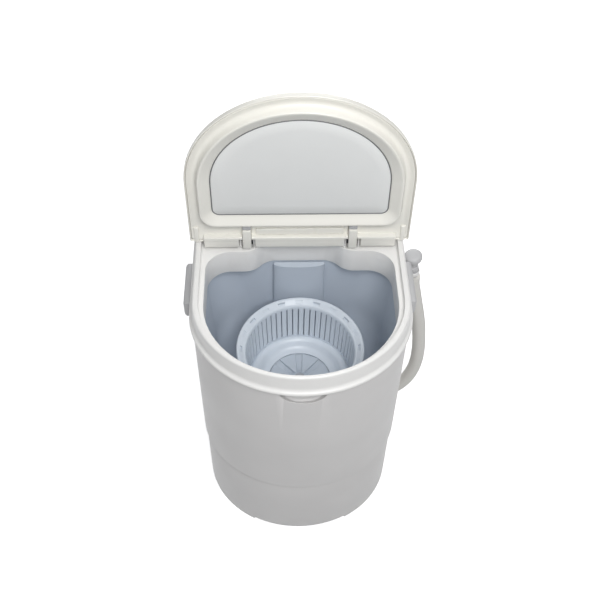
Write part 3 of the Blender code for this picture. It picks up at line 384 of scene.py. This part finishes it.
def skin(name, rings, axis_y=0.0, caps=(), closed=False, points=RING):
    """Skin rings of (half, front, rear, corner, height): each is extruded from the last one."""
    piece = start(name)
    bpy.ops.mesh.primitive_circle_add(vertices=points, radius=1.0)
    shape = bmesh.from_edit_mesh(piece.data)
    turn_of = shape.verts.layers.float.new("turn")
    level_of = shape.verts.layers.int.new("level")
    for v in shape.verts:
        v[turn_of] = math.atan2(v.co.y, v.co.x)
    if closed:
        rings = rings + rings[:1]
    for number, (half, front, rear, corner, height) in enumerate(rings):
        if number:
            bpy.ops.mesh.extrude_region_move()
            shape = bmesh.from_edit_mesh(piece.data)
            turn_of = shape.verts.layers.float["turn"]
            level_of = shape.verts.layers.int["level"]
        for v in shape.verts:
            if v.select:
                x, y = outline(v[turn_of], half, front, rear, corner)
                v.co = (x, axis_y + y, height)
                v[level_of] = number
        bmesh.update_edit_mesh(piece.data)
    for word in caps:
        wanted = {"first": 0, "last": len(rings) - 1}[word]
        level_of = bmesh.from_edit_mesh(piece.data).verts.layers.int["level"]
        pick("EDGE", lambda e: all(v[level_of] == wanted for v in e.verts))
        bpy.ops.mesh.edge_face_add()
    if closed:
        bpy.ops.mesh.select_all(action="SELECT")
        bpy.ops.mesh.remove_doubles(threshold=TINY)
    face_out()
    stop()
    for layer in ("turn", "level"):
        piece.data.attributes.remove(piece.data.attributes[layer])
    return piece


def face_out():
    """Turn every face of the piece in edit mode outwards."""
    bpy.ops.mesh.select_all(action="SELECT")
    bpy.ops.mesh.normals_make_consistent(inside=False)


def turned(name, profile, caps=(), closed=False, points=64):
    """Skin round rings of (radius, height) about the vertical axis."""
    rings = [(radius, radius, radius, radius, height) for radius, height in profile]
    return skin(name, rings, 0.0, caps, closed, points)


def block(name, low, high, bevel=0.0, segments=3):
    """A box between two corners with rounded edges."""
    piece = start(name)
    centre = [(a + b) / 2 for a, b in zip(low, high)]
    bpy.ops.mesh.primitive_cube_add(size=1.0, location=centre)
    scale(*[b - a for a, b in zip(low, high)], centre)
    if bevel:
        pick("EDGE", lambda e: True)
        bpy.ops.mesh.bevel(offset=bevel, segments=segments, affect="EDGES")
    stop()
    return piece


def modify(piece, kind, **settings):
    """Add a modifier and apply it."""
    bpy.ops.object.select_all(action="DESELECT")
    piece.select_set(True)
    bpy.context.view_layer.objects.active = piece
    step = piece.modifiers.new(kind.lower(), kind)
    for key, value in settings.items():
        setattr(step, key, value)
    bpy.ops.object.modifier_apply(modifier=step.name)


def thicken(piece, wall):
    """Give a skin its wall thickness, inwards."""
    modify(piece, "SOLIDIFY", thickness=wall, offset=-1, use_even_offset=True)


def soften(piece, width, segments=2):
    """Round the sharp edges."""
    modify(piece, "BEVEL", width=width, segments=segments, limit_method="ANGLE",
           angle_limit=EDGE_ANGLE, harden_normals=False)


def cut(piece, tool, operation="DIFFERENCE"):
    """Cut a tool out of a piece or join it on, and clear the tool away."""
    modify(piece, "BOOLEAN", object=tool, operation=operation, solver="EXACT")
    bpy.data.objects.remove(tool, do_unlink=True)


def settle(piece, body, finish, slot, *nodes, at=None, turn=None):
    """Put a finished piece in its place, smooth it, and let it ride with its body."""
    piece.location = at or (0, DRUM_Y, 0)
    piece.rotation_euler = turn or (0, 0, 0)
    bpy.ops.object.select_all(action="DESELECT")
    piece.select_set(True)
    bpy.context.view_layer.objects.active = piece
    bpy.ops.object.transform_apply(location=True, rotation=True, scale=True)
    bpy.ops.object.shade_smooth_by_angle(angle=EDGE_ANGLE)
    if not piece.data.materials:
        piece.data.materials.append(FINISH[finish])
    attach(piece, body)
    if nodes:
        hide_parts(*nodes)


# ---------------------------------------------------------------- hose
def hose():
    """Drain hose on a smooth curve from the spigot to its holder."""
    data = bpy.data.curves.new("grey_drain_hose", "CURVE")
    data.dimensions = "3D"
    data.bevel_depth = HOSE_RADIUS
    data.bevel_resolution = 8
    data.resolution_u = 6
    data.use_fill_caps = True
    line = data.splines.new("BEZIER")
    line.bezier_points.add(len(HOSE_ROUTE) - 1)
    for point, (x, y, z) in zip(line.bezier_points, HOSE_ROUTE):
        point.co = (x, y + DRUM_Y, z)
        point.handle_left_type = "AUTO"
        point.handle_right_type = "AUTO"
    piece = bpy.data.objects.new("grey_drain_hose", data)
    bpy.context.collection.objects.link(piece)
    data.materials.append(FINISH["hose"])
    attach(piece, "cabinet")
    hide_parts("drain_hose")
    return piece


def hose_fittings():
    """End cap with its cuff and the holder on the cabinet; the spigot below is the frame's own piece, only
    named in the list returned.
    """
    x, y, z = HOSE_ROUTE[-1]
    place = {"at": (x, y + DRUM_Y, z), "turn": (0, math.atan2(-0.0050, 0.048), 0)}
    profile = [
        (0.0040, 0.0020), (0.0070, 0.0020), (0.0070, 0.0070), (0.0092, 0.0075), (0.0096, 0.0085),
        (0.0096, 0.0145), (0.0084, 0.0152), (0.0084, 0.0185), (0.0096, 0.0192), (0.0096, 0.0265),
        (0.0090, 0.0275), (0.0070, 0.0280), (0.0070, 0.0430), (0.0120, 0.0440), (0.0150, 0.0460),
        (0.0158, 0.0485), (0.0158, 0.0520), (0.0154, 0.0542), (0.0140, 0.0560), (0.0110, 0.0572),
        (0.0060, 0.0578), (0.0020, 0.0580),
    ]
    cap = turned("hose_end_plug", profile, ("first", "last"))
    settle(cap, "cabinet", "grip", "grip_plastic", "hose_end_cap", **place)
    rim = [(0.0100, 0.0090), (0.0108, 0.0085), (0.0114, 0.0090), (0.0116, 0.0105), (0.0116, 0.0140),
           (0.0114, 0.0155), (0.0108, 0.0160), (0.0100, 0.0155)]
    clip = turned("hose_clip_ring", rim, closed=True)
    settle(clip, "cabinet", "collar", "collar_plastic", "hose_holder", **place)
    arm = block("hose_clip_arm", (HALF_WIDTH + 0.0009, y - 0.0060, z + 0.0085),
                (x - 0.0105, y + 0.0060, z + 0.0160), 0.0010)
    settle(arm, "cabinet", "collar", "collar_plastic")
    return [cap, clip, arm, "drain_spigot"]


# ---------------------------------------------------------------- cabinet
def plan(grow, height):
    """The cabinet's plan, grown outwards, as a ring's sizes."""
    return (HALF_WIDTH + grow, FRONT_DEPTH + grow, REAR_DEPTH + grow, REAR_CORNER + grow, height)


def lower_cabinet():
    """Base shell, its skirt raised between the feet."""
    top_grow = LIP_GROW - WALL - 0.0005
    notch = SKIRT_CLEAR + SKIRT_NOTCH
    levels = [(FOOT_GROW, SKIRT_CLEAR), (FOOT_GROW, notch), (FOOT_GROW * 0.95, 0.020), (-0.0014, 0.100),
              (top_grow, SEAM_HEIGHT + SHELL_LAP)]
    shell = skin("lower_cabinet", [plan(grow, height) for grow, height in levels])
    edit(shell)
    pick("FACE", lambda f: middle(f).z < notch and abs(middle(f).x) < NOTCH_HALF)
    bpy.ops.mesh.delete(type="FACE")
    stop()
    thicken(shell, WALL)
    soften(shell, 0.0006)
    settle(shell, "cabinet", "cabinet", "cabinet_plastic", "base_shell")


def scoop_form(name, spare):
    """Egg-shaped form of the finger scoop."""
    piece = start(name)
    centre = (0, -FRONT_DEPTH - 0.0005, SHOULDER_HEIGHT - 0.0008)
    bpy.ops.mesh.primitive_uv_sphere_add(segments=64, ring_count=32, radius=1.0, location=centre)
    scale(0.0430 + spare, 0.0075 + spare, 0.0225 + spare, centre)
    stop()
    return piece


def upper_cabinet():
    """Upper shell: its lower lip stands proud of the base, with a finger scoop under the shoulder."""
    high = SHOULDER_HEIGHT - GAP
    levels = [(LIP_GROW - 0.0006, SEAM_HEIGHT), (LIP_GROW, SEAM_HEIGHT + 0.0008),
              (LIP_GROW, SEAM_HEIGHT + 0.0050), (LIP_GROW * 0.5, 0.330), (0.0, high)]
    shell = skin("upper_cabinet", [plan(grow, height) for grow, height in levels])
    thicken(shell, WALL)
    cut(shell, scoop_form("scoop_tool", 0))
    settle(shell, "cabinet", "cabinet", "cabinet_plastic", "upper_shell")
    cup = scoop_form("finger_scoop", 0.0016)
    cut(cup, scoop_form("scoop_tool", 0))
    inside = skin("inside_tool", [plan(-GAP, 0.40), plan(-GAP, high)], caps=("first", "last"))
    cut(cup, inside, "INTERSECT")
    settle(cup, "cabinet", "cabinet", "cabinet_plastic", "front_scoop")


def opening_tool(grow, low, high):
    """Solid with the opening's outline: a D whose rear edge steps back between the hinge bosses."""
    piece = start("opening_tool")
    face = BOSS_FACE + grow
    ring(OPENING_HALF + grow, OPENING_FRONT + grow, face, OPENING_CORNER + grow, low)
    pick("VERT", lambda v: abs(v.co.x) < TINY and v.co.y > 0)
    bpy.ops.mesh.delete(type="VERT")
    pick("VERT", lambda v: v.co.x > 0 and len(v.link_edges) == 1)
    shape = bmesh.from_edit_mesh(bpy.context.object.data)
    here = [v.co.copy() for v in shape.verts if v.select][0]
    step_front = 0.0790 + grow / 2
    step_back = 0.0540 + grow / 2
    corners = [(step_front, face), (step_back, OPENING_REAR + grow), (-step_back, OPENING_REAR + grow),
               (-step_front, face)]
    for x, y in corners:
        bpy.ops.mesh.extrude_region_move(TRANSFORM_OT_translate={"value": (x - here.x, y - here.y, 0)})
        here.x = x
        here.y = y
    pick("VERT", lambda v: len(v.link_edges) == 1)
    bpy.ops.mesh.edge_face_add()
    bpy.ops.mesh.select_all(action="SELECT")
    bpy.ops.mesh.edge_face_add()
    pick("VERT", lambda v: any(math.hypot(v.co.x - x, v.co.y - y) < TINY for x, y in corners))
    bpy.ops.mesh.bevel(offset=0.0130, segments=8, affect="VERTICES")
    bpy.ops.mesh.select_all(action="SELECT")
    bpy.ops.mesh.extrude_region_move(TRANSFORM_OT_translate={"value": (0, 0, high - low)})
    face_out()
    stop()
    return piece


def arc(middle_grow, middle_height, radius, start_turn, end_turn, steps):
    """Points of a round edge as (grow, height)."""
    points = []
    for step in range(steps + 1):
        turn = math.radians(start_turn + (end_turn - start_turn) * step / steps)
        points.append((middle_grow + radius * math.cos(turn), middle_height + radius * math.sin(turn)))
    return points


def moulded_collar():
    """White top frame: round shoulder, tapered band, rounded rim and the seat round the opening."""
    low = SHOULDER_HEIGHT
    levels = [(-0.0045, COLLAR_FOOT), (-0.0045, low - 0.0010), (-0.0022, low)]
    levels += arc(SHOULDER_GROW - 0.0045, low + 0.0046, 0.0045, -75, 75, 8)
    levels += [(-0.0012, low + 0.0125), (-0.0014, low + 0.0145)]
    levels += arc(RIM_GROW - 0.0022, RIM_HEIGHT - 0.0036, 0.0036, 0, 90, 6)
    collar = skin("moulded_collar", [plan(grow, height) for grow, height in levels], caps=("first", "last"))
    cut(collar, opening_tool(0, COLLAR_FOOT - 0.01, RIM_HEIGHT + 0.01))
    deck = RIM_HEIGHT - LEDGE_DEPTH
    sizes = (DECK_HALF, DECK_FRONT, DECK_REAR, 0.0080)
    recess = skin("recess_tool", [(*sizes, deck), (*sizes, RIM_HEIGHT + 0.01)], caps=("first", "last"))
    edit(recess)
    pick("EDGE", lambda e: all(v.co.z < deck + TINY for v in e.verts))
    bpy.ops.mesh.bevel(offset=0.0030, segments=4, affect="EDGES")
    stop()
    cut(collar, recess)
    for side in (-1, 1):
        x = side * CLIP_X
        half = CRADLE_HALF + GAP
        slot = block("slot_tool", (x - half, CRADLE_FRONT - GAP, RIM_HEIGHT - CRADLE_DEPTH - GAP),
                     (x + half, CRADLE_REAR + GAP, deck + 0.001))
        cut(collar, slot)
    soften(collar, 0.0016, 3)
    settle(collar, "cabinet", "collar", "collar_plastic", "top_collar")


def hinge_cradles():
    """Cradles sunk in the collar's deck; their ears carry the hinge pins."""
    deck = RIM_HEIGHT - LEDGE_DEPTH
    hinge_height = RIM_HEIGHT + HINGE_RISE
    for side, word in ((-1, "left"), (1, "right")):
        x = side * CLIP_X
        cradle = block("hinge_cradle_" + word, (x - CRADLE_HALF, CRADLE_FRONT, RIM_HEIGHT - CRADLE_DEPTH),
                       (x + CRADLE_HALF, CRADLE_REAR, deck - GAP))
        ears = block("ear_tool", (x - CRADLE_HALF, HINGE_Y - 0.0050, deck - 0.0040),
                     (x + CRADLE_HALF, HINGE_Y + 0.0050, hinge_height + 0.0040), 0.0014, 3)
        cut(cradle, ears, "UNION")
        inner = CRADLE_HALF - WALL
        cut(cradle, block("cradle_tool", (x - inner, CRADLE_FRONT + WALL, RIM_HEIGHT - CRADLE_DEPTH + WALL),
                          (x + inner, CRADLE_REAR - WALL, hinge_height + 0.01)))
        soften(cradle, 0.0005)
        settle(cradle, "cabinet", "collar", "collar_plastic", "hinge_bracket_" + word)


def carrying_grips():
    """Grey grips on the sides, hollow from below."""
    inner = HALF_WIDTH + 0.0005
    outer = HALF_WIDTH + GRIP_REACH
    for side, word in ((-1, "left"), (1, "right")):
        low_x, high_x = sorted((side * inner, side * outer))
        grip = block("carrying_grip_" + word, (low_x, GRIP_FRONT, GRIP_LOW), (high_x, GRIP_REAR, GRIP_HIGH))
        edit(grip)
        pick("EDGE", lambda e: abs(middle(e).x) > outer - TINY)
        bpy.ops.mesh.bevel(offset=0.0060, segments=5, affect="EDGES")
        stop()
        low_x, high_x = sorted((side * (inner + 0.0020), side * (outer - 0.0030)))
        cut(grip, block("pocket_tool", (low_x, GRIP_FRONT + 0.0030, GRIP_LOW - 0.01),
                        (high_x, GRIP_REAR - 0.0030, GRIP_HIGH - 0.0030), 0.0020))
        soften(grip, 0.0006)
        settle(grip, "cabinet", "grip", "grip_plastic", "side_grip_" + word)


def rubber_feet():
    """Four moulded feet with a grip ring underneath."""
    profile = [(0.0070, 0.0008), (0.0085, 0.0), (0.0115, 0.0), (0.0130, 0.0010), (0.0128, 0.0040),
               (0.0110, 0.0108), (0.0105, 0.0120)]
    for word, x, y in (("front_left", -FOOT_X, FOOT_FRONT_Y), ("front_right", FOOT_X, FOOT_FRONT_Y),
                       ("rear_left", -FOOT_X, FOOT_REAR_Y), ("rear_right", FOOT_X, FOOT_REAR_Y)):
        foot = turned("rubber_foot_" + word, profile, ("first", "last"), points=40)
        settle(foot, "cabinet", "rubber", "rubber", "foot_" + word, at=(x, y + DRUM_Y, 0))


# ---------------------------------------------------------------- tub, basket and pulsator
def wash_tub():
    """Tub: a D at its mouth that narrows into a round bowl, with a flange under the collar."""
    top = COLLAR_FOOT - GAP
    straight = TUB_STRAIGHT_SHARE
    bowl_top = TUB_FLOOR + TUB_BOWL
    shares = [(straight * step / 4, top - (top - bowl_top) * step / 4) for step in range(5)]
    for step in range(1, 13):
        turn = 0.5 * math.pi * step / 12
        share = straight + (1 - straight) * (1 - math.cos(turn))
        shares.append((share, TUB_FLOOR + TUB_BOWL * (1 - math.sin(turn))))

    def level(share, height, grow):
        """Sizes between the D of the mouth (share 0) and the circle of the floor (share 1)."""
        sizes = [(mouth + (TUB_FOOT_RADIUS - mouth) * share) + grow for mouth in TUB_MOUTH]
        return (*sizes, height)

    half_wall = 0.0011
    rings = [level(0, top - half_wall, 0.0030)]
    rings += [level(share, min(height, top - half_wall), half_wall) for share, height in shares]
    rings += [(radius, radius, radius, radius, TUB_FLOOR - half_wall) for radius in (0.100, 0.060, 0.0125)]
    tub = skin("wash_tub", rings)
    thicken(tub, 2 * half_wall)
    settle(tub, "cabinet", "tub", "tub_plastic", "tub")
    rings = [(0.0458, 0.0110, 0.0040, 0.0030, 0.3450), (0.0446, 0.0095, 0.0040, 0.0030, 0.4000),
             (0.0436, 0.0085, 0.0040, 0.0030, top - 0.0010)]
    cover = skin("rear_channel_cover", rings, 0.1260, caps=("first", "last"))
    settle(cover, "cabinet", "tub", "tub_plastic", "overflow_cover")


def column(face):
    """Which column of the basket a face is in."""
    spot = middle(face)
    return int((math.atan2(spot.y, spot.x) / (2 * math.pi) % 1.0) * BASKET_COLUMNS)


def slotted_basket():
    """Spin basket: funnel rim with notches, slotted wall, rounded ring and open floor."""
    rim = basket_high[2] - 0.0011
    floor = BASKET_FLOOR
    profile = [(0.1072, rim - 0.0032), (0.1077, rim - 0.0010), (0.1070, rim - 0.0002), (0.1060, rim - 0.0004),
               (0.1035, rim - 0.0020), (0.0985, rim - 0.0056), (0.0975, rim - 0.0064), (0.0962, rim - 0.0072),
               (0.0952, rim - 0.0072), (0.0944, rim - 0.0080), (0.0938, rim - 0.0100), (0.0936, rim - 0.0130),
               (0.0902, floor + 0.0120), (0.0890, floor + 0.0100), (0.0872, floor + 0.0118),
               (0.0845, floor + 0.0142), (0.0810, floor + 0.0150), (0.0775, floor + 0.0140),
               (0.0740, floor + 0.0105), (0.0710, floor + 0.0060), (0.0675, floor + 0.0025),
               (0.0630, floor + 0.0008), (0.0560, floor)]
    basket = turned("slotted_basket", profile, points=BASKET_COLUMNS)
    edit(basket)
    pick("FACE", lambda f: floor + 0.0130 < middle(f).z < rim - 0.0135 and column(f) % SLOT_COLUMNS == 0
         and math.hypot(middle(f).x, middle(f).y) > 0.0895)
    bpy.ops.mesh.delete(type="FACE")
    for shift, depth in ((0, 0.0045), (NOTCH_COLUMNS, 0.0012)):
        pick("FACE", lambda f: 0.0982 < math.hypot(middle(f).x, middle(f).y) < 0.1032
             and middle(f).z > rim - 0.007 and (column(f) + 3 - shift) % (2 * NOTCH_COLUMNS) < 6)
        bpy.ops.mesh.extrude_region_move(TRANSFORM_OT_translate={"value": (0, 0, -depth)})
    stop()
    modify(basket, "SOLIDIFY", thickness=0.0022, offset=0)
    settle(basket, "basket", "basket", "basket_plastic", "spin_basket")


def vaned_pulsator():
    """Dished pulsator with wedge-shaped vanes, a domed hub and its screw."""
    top = PULSATOR_TOP
    profile = [(0.0063, top - 0.0130), (0.0130, top - 0.0130), (0.0160, top - 0.0070), (0.0600, top - 0.0045),
               (0.0630, top - 0.0030), (0.0635, top - 0.0015), (0.0628, top - 0.0002), (0.0600, top - 0.0004),
               (0.0520, top - 0.0016), (0.0380, top - 0.0020), (0.0230, top - 0.0008), (0.0175, top + 0.0020),
               (0.0145, top + 0.0056), (0.0110, top + 0.0073), (0.0063, top + 0.0075)]
    disc = turned("vaned_pulsator", profile, closed=True, points=96)
    for number in range(PULSATOR_VANES):
        vane = block("vane_tool", (0.0150, -0.0020, top - 0.0030), (0.0560, 0.0020, top + 0.0046))
        edit(vane)
        pick("VERT", lambda v: v.co.x > 0.05)
        scale(1, 8.4, 1, (0.056, 0, top))
        pick("VERT", lambda v: v.co.x > 0.05 and v.co.z > top)
        move(z=-0.0030)
        pick("EDGE", lambda e: middle(e).z > top - 0.0005)
        bpy.ops.mesh.bevel(offset=0.0020, segments=4, affect="EDGES")
        stop()
        vane.rotation_euler = (0, 0, 2 * math.pi * (number + 0.5) / PULSATOR_VANES)
        cut(disc, vane, "UNION")
    settle(disc, "pulsator", "pulsator", "pulsator_plastic", "pulsator")
    cap = [(0.0050, top + 0.0053), (0.0050, top + 0.0078), (0.0095, top + 0.0078), (0.0097, top + 0.0088),
           (0.0090, top + 0.0100), (0.0060, top + 0.0107), (0.0025, top + 0.0109)]
    screw = turned("pulsator_cap_screw", cap, ("first", "last"), points=48)
    cut(screw, block("slot_tool", (-0.0070, -0.0007, top + 0.0095), (0.0070, 0.0007, top + 0.02)))
    settle(screw, "pulsator", "steel", "steel", "pulsator_screw")


# ---------------------------------------------------------------- lid
def lid_ring(inset, depth, bottom=-LID_HEEL, corner=0.004):
    """Sizes of a ring on the closed lid; depth is upwards from the hinge axis."""
    return (LID_HALF - inset, LID_ARC - inset, LID_STRAIGHT - bottom, corner, depth)


def settle_lid(piece, finish, slot, *nodes):
    """Open a piece of the closed lid about the hinge, and let it ride on the lid."""
    hinge = (0, HINGE_Y + DRUM_Y, RIM_HEIGHT + HINGE_RISE)
    settle(piece, "lid", finish, slot, *nodes, at=hinge, turn=(-math.pi / 2 - LID_LEAN, 0, 0))


def ear_gaps(piece):
    """Room for the hinge cradles' ears."""
    for side in (-1, 1):
        x = side * CLIP_X
        cut(piece, block("gap_tool", (x - 0.0137, -0.0080, -0.03), (x + 0.0137, 0.02, 0.0080)))


def lid():
    """Crowned lid, its raised inner frame with the hinge bar, and the panel in its seal."""
    rings = [
        lid_ring(0.0010, LID_EDGE, -0.0010, 0.004), lid_ring(0.0, LID_EDGE + 0.0008),
        lid_ring(0.0, 0.0020), lid_ring(0.0006, 0.0048, -0.0016, 0.006),
        lid_ring(0.0022, 0.0074, -0.0008, 0.008),
        lid_ring(0.0048, 0.0095, 0.0010, 0.010), lid_ring(0.0085, 0.0110, 0.0035, 0.011),
        lid_ring(0.0140, 0.0117, 0.0080, 0.012), lid_ring(0.0300, 0.0121, 0.0200, 0.014),
        lid_ring(0.0700, 0.0124, 0.0500, 0.016),
    ]
    shell = skin("lid_outer_shell", rings, -LID_STRAIGHT, caps=("last",))
    thicken(shell, WALL)
    ear_gaps(shell)
    settle_lid(shell, "lid", "lid_plastic", "lid_shell")
    seat = LID_EDGE - 0.0015
    rings = [
        lid_ring(0.0100, 0.0050, 0.0060, 0.006), lid_ring(0.0030, 0.0020, 0.0020, 0.004),
        lid_ring(0.0030, -0.0040, 0.0020, 0.004), lid_ring(0.0038, -0.0050, 0.0028, 0.004),
        lid_ring(0.0060, -0.0044, 0.0050, 0.006), lid_ring(0.0090, -0.0030, 0.0100, 0.010),
        lid_ring(0.0115, -0.0022, 0.0190, 0.016), lid_ring(0.0140, -0.0022, 0.0300, 0.024),
        lid_ring(0.0165, -0.0030, 0.0350, 0.029), lid_ring(0.0182, -0.0052, 0.0370, 0.028),
        lid_ring(0.0194, -0.0090, 0.0384, 0.027), lid_ring(0.0200, -0.0135, 0.0392, 0.0262),
        lid_ring(0.0206, -0.0155, 0.0399, 0.0256), lid_ring(0.0218, RIDGE_TIP, 0.0411, 0.0245),
        lid_ring(0.0236, RIDGE_TIP, 0.0425, 0.0235), lid_ring(0.0252, -0.0158, 0.0440, 0.0225),
        lid_ring(0.0300, -0.0128, 0.0485, 0.020), lid_ring(0.0380, seat - 0.0010, 0.0560, 0.0155),
        lid_ring(0.0395, seat - 0.0002, 0.0578, 0.0140), lid_ring(0.0400, seat + 0.0020, 0.0588, 0.0120),
    ]
    inner = skin("lid_raised_frame", rings, -LID_STRAIGHT, caps=("first", "last"))
    bar = block("bar_tool", (-0.1580, -0.0118, -0.0128), (0.1580, -0.0025, -0.0010), 0.0014, 3)
    cut(inner, bar, "UNION")
    apron = block("apron_tool", (-0.1576, -0.0060, -0.0126), (0.1576, 0.0098, -0.0065), 0.0014, 3)
    cut(inner, apron, "UNION")
    ear_gaps(inner)
    for side in (-1, 1):
        x = side * CLIP_X
        cut(inner, block("seat_tool", (x - 0.0076, -0.0285, -0.04), (x + 0.0076, 0.02, 0.0050)))
    settle_lid(inner, "lid", "lid_plastic", "lid_inner_frame")
    rings = [
        lid_ring(0.0399, seat + 0.0012, 0.0587, 0.0120), lid_ring(0.0399, seat - 0.0004, 0.0587, 0.0120),
        lid_ring(0.0403, seat - 0.0008, 0.0591, 0.0116), lid_ring(0.0409, seat - 0.0008, 0.0597, 0.0110),
        lid_ring(0.0413, seat - 0.0004, 0.0601, 0.0106), lid_ring(0.0413, seat + 0.0012, 0.0601, 0.0106),
    ]
    seal = skin("lid_panel_seal", rings, -LID_STRAIGHT, closed=True)
    settle_lid(seal, "seal", "rubber")
    rings = [
        lid_ring(0.0415, seat + 0.0018, 0.0603, 0.0105), lid_ring(0.0415, seat, 0.0603, 0.0105),
        lid_ring(0.0424, seat - 0.0005, 0.0612, 0.0100), lid_ring(0.0600, seat - 0.0007, 0.0780, 0.010),
        lid_ring(0.0900, seat - 0.0008, 0.1080, 0.008),
    ]
    panel = skin("lid_flat_panel", rings, -LID_STRAIGHT, caps=("first", "last"))
    settle_lid(panel, "panel", "panel_plastic", "lid_panel")


def lid_hinge_details():
    """Hinge clips with ribbed caps, black hooks whose black is painted shade for the shadow pockets beside
    the clips, the strip above the hinge bar, and the corner posts.
    """
    half = CLIP_WIDTH / 2
    for side, word in ((-1, "left"), (1, "right")):
        x = side * CLIP_X
        clip = block("lid_clip_" + word, (x - half, -0.0275, -0.0138), (x + half, 0.0128, 0.0045), 0.0016, 3)
        settle_lid(clip, "lid", "lid_plastic", "hinge_clip_" + word)
        cap = block("lid_clip_cap_" + word, (x - half + 0.0004, -0.0350, -0.0120),
                    (x + half - 0.0004, -0.0285, -0.0050), 0.0008)
        for rib in range(4):
            spot = x - half + 0.0026 + 0.0029 * rib
            cut(cap, block("rib_tool", (spot - 0.0005, -0.036, -0.013), (spot + 0.0005, -0.028, -0.0112)))
        settle_lid(cap, "grip", "grip_plastic")
        # Black hook inside each clip: painted shade standing for the shadow pocket beside the clip.
        near, far = sorted((x - side * HOOK_SHADOW_SIDE, x - side * (HOOK_SHADOW_SIDE + HOOK_SHADOW_WIDTH)))
        hook_painted_shadow = block("lid_hook_painted_shadow_" + word, (near, -0.0060, -0.0136), (far, 0.0020, -0.0095), 0.0008)
        settle_lid(hook_painted_shadow, "black", "black_plastic")
        near, far = sorted((side * POST_INNER, side * POST_OUTER))
        post = block("lid_corner_post_" + word, (near, -0.0290, -0.0062), (far, 0.0040, -0.0022), 0.0018, 4)
        settle_lid(post, "lid", "lid_plastic")
    strip = block("lid_hinge_strip", (-0.0720, -0.0250, -0.0062), (0.0720, -0.0125, -0.0010), 0.0012, 3)
    for spot in (-0.0250, 0.0250):
        cut(strip, block("groove_tool", (spot - 0.0008, -0.03, -0.009), (spot + 0.0008, 0.0, -0.0045)))
    settle_lid(strip, "lid", "lid_plastic")


# ---------------------------------------------------------------- console
def rounded_block(name, low, high, corner, edge):
    """A box with round vertical corners and softened top edges."""
    piece = block(name, low, high)
    edit(piece)
    pick("EDGE", lambda e: abs(e.verts[0].co.z - e.verts[1].co.z) > TINY)
    bpy.ops.mesh.bevel(offset=corner, segments=8, affect="EDGES")
    pick("EDGE", lambda e: all(v.co.z > high[2] - TINY for v in e.verts))
    bpy.ops.mesh.bevel(offset=edge, segments=4, affect="EDGES")
    stop()
    return piece


def console():
    """Rear console with its panel and the timer knob."""
    low = RIM_HEIGHT + GAP
    high = low + CONSOLE_HEIGHT
    housing = rounded_block("console_cover", (-CONSOLE_HALF, CONSOLE_FRONT, low),
                            (CONSOLE_HALF, CONSOLE_REAR, high), 0.0180, 0.0050)
    settle(housing, "cabinet", "collar", "collar_plastic", "console_housing")
    panel = rounded_block("console_panel", (-0.0750, 0.1490, high + GAP), (0.0750, 0.1835, high + 0.0011),
                          0.0060, 0.0003)
    settle(panel, "cabinet", "panel", "panel_plastic", "control_panel")
    base = high + 0.0016
    profile = [(0.0170, base), (0.0180, base + 0.0003), (0.0180, base + 0.0030), (0.0172, base + 0.0044),
               (0.0155, base + 0.0050), (0.0120, base + 0.0052), (0.0040, base + 0.0052)]
    knob = turned("timer_dial_knob", profile, ("first", "last"))
    grip = block("grip_tool", (-0.0045, -0.0160, base + 0.0040), (0.0045, 0.0160, base + 0.0150), 0.0018, 4)
    cut(knob, grip, "UNION")
    for tick in range(KNURLS):
        tool = block("knurl_tool", (0.0175, -0.0004, base - 0.001), (0.0190, 0.0004, base + 0.0034))
        tool.rotation_euler = (0, 0, 2 * math.pi * tick / KNURLS)
        cut(knob, tool)
    settle(knob, "knob", "grip", "grip_plastic", "timer_knob", at=(0, KNOB_Y + DRUM_Y, 0))


KEPT = {
    "bottom_plate": "cabinet", "drain_spigot": "collar", "cord_gland": "black", "hinge_pin_left": "steel",
    "hinge_pin_right": "steel", "timer_body": "black", "drive_shaft": "steel", "shaft_bush": "bronze",
    "shaft_seal": "rubber", "bearing_housing": "motor", "tub_pulley": "zinc", "motor_pulley": "zinc",
    "drive_belt": "rubber", "motor_can": "motor", "motor_shaft": "steel", "motor_bracket": "zinc",
    "capacitor": "grip", "drain_elbow": "tub", "drain_pipe": "black", "motor_bolt_1": "zinc",
    "motor_bolt_2": "zinc", "motor_bolt_3": "zinc", "motor_bolt_4": "zinc",
}


def refinish_kept():
    """Give the frame's own pieces their finish."""
    for name, finish in KEPT.items():
        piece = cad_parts[name]
        for place in piece.material_slots:
            place.material = FINISH[finish]


FINISH = make_materials()
camera()
hose_piece = hose()
hose_extras = hose_fittings()
studio()
lower_cabinet()
upper_cabinet()
moulded_collar()
hinge_cradles()
carrying_grips()
rubber_feet()
wash_tub()
slotted_basket()
vaned_pulsator()
lid()
lid_hinge_details()
console()
refinish_kept()
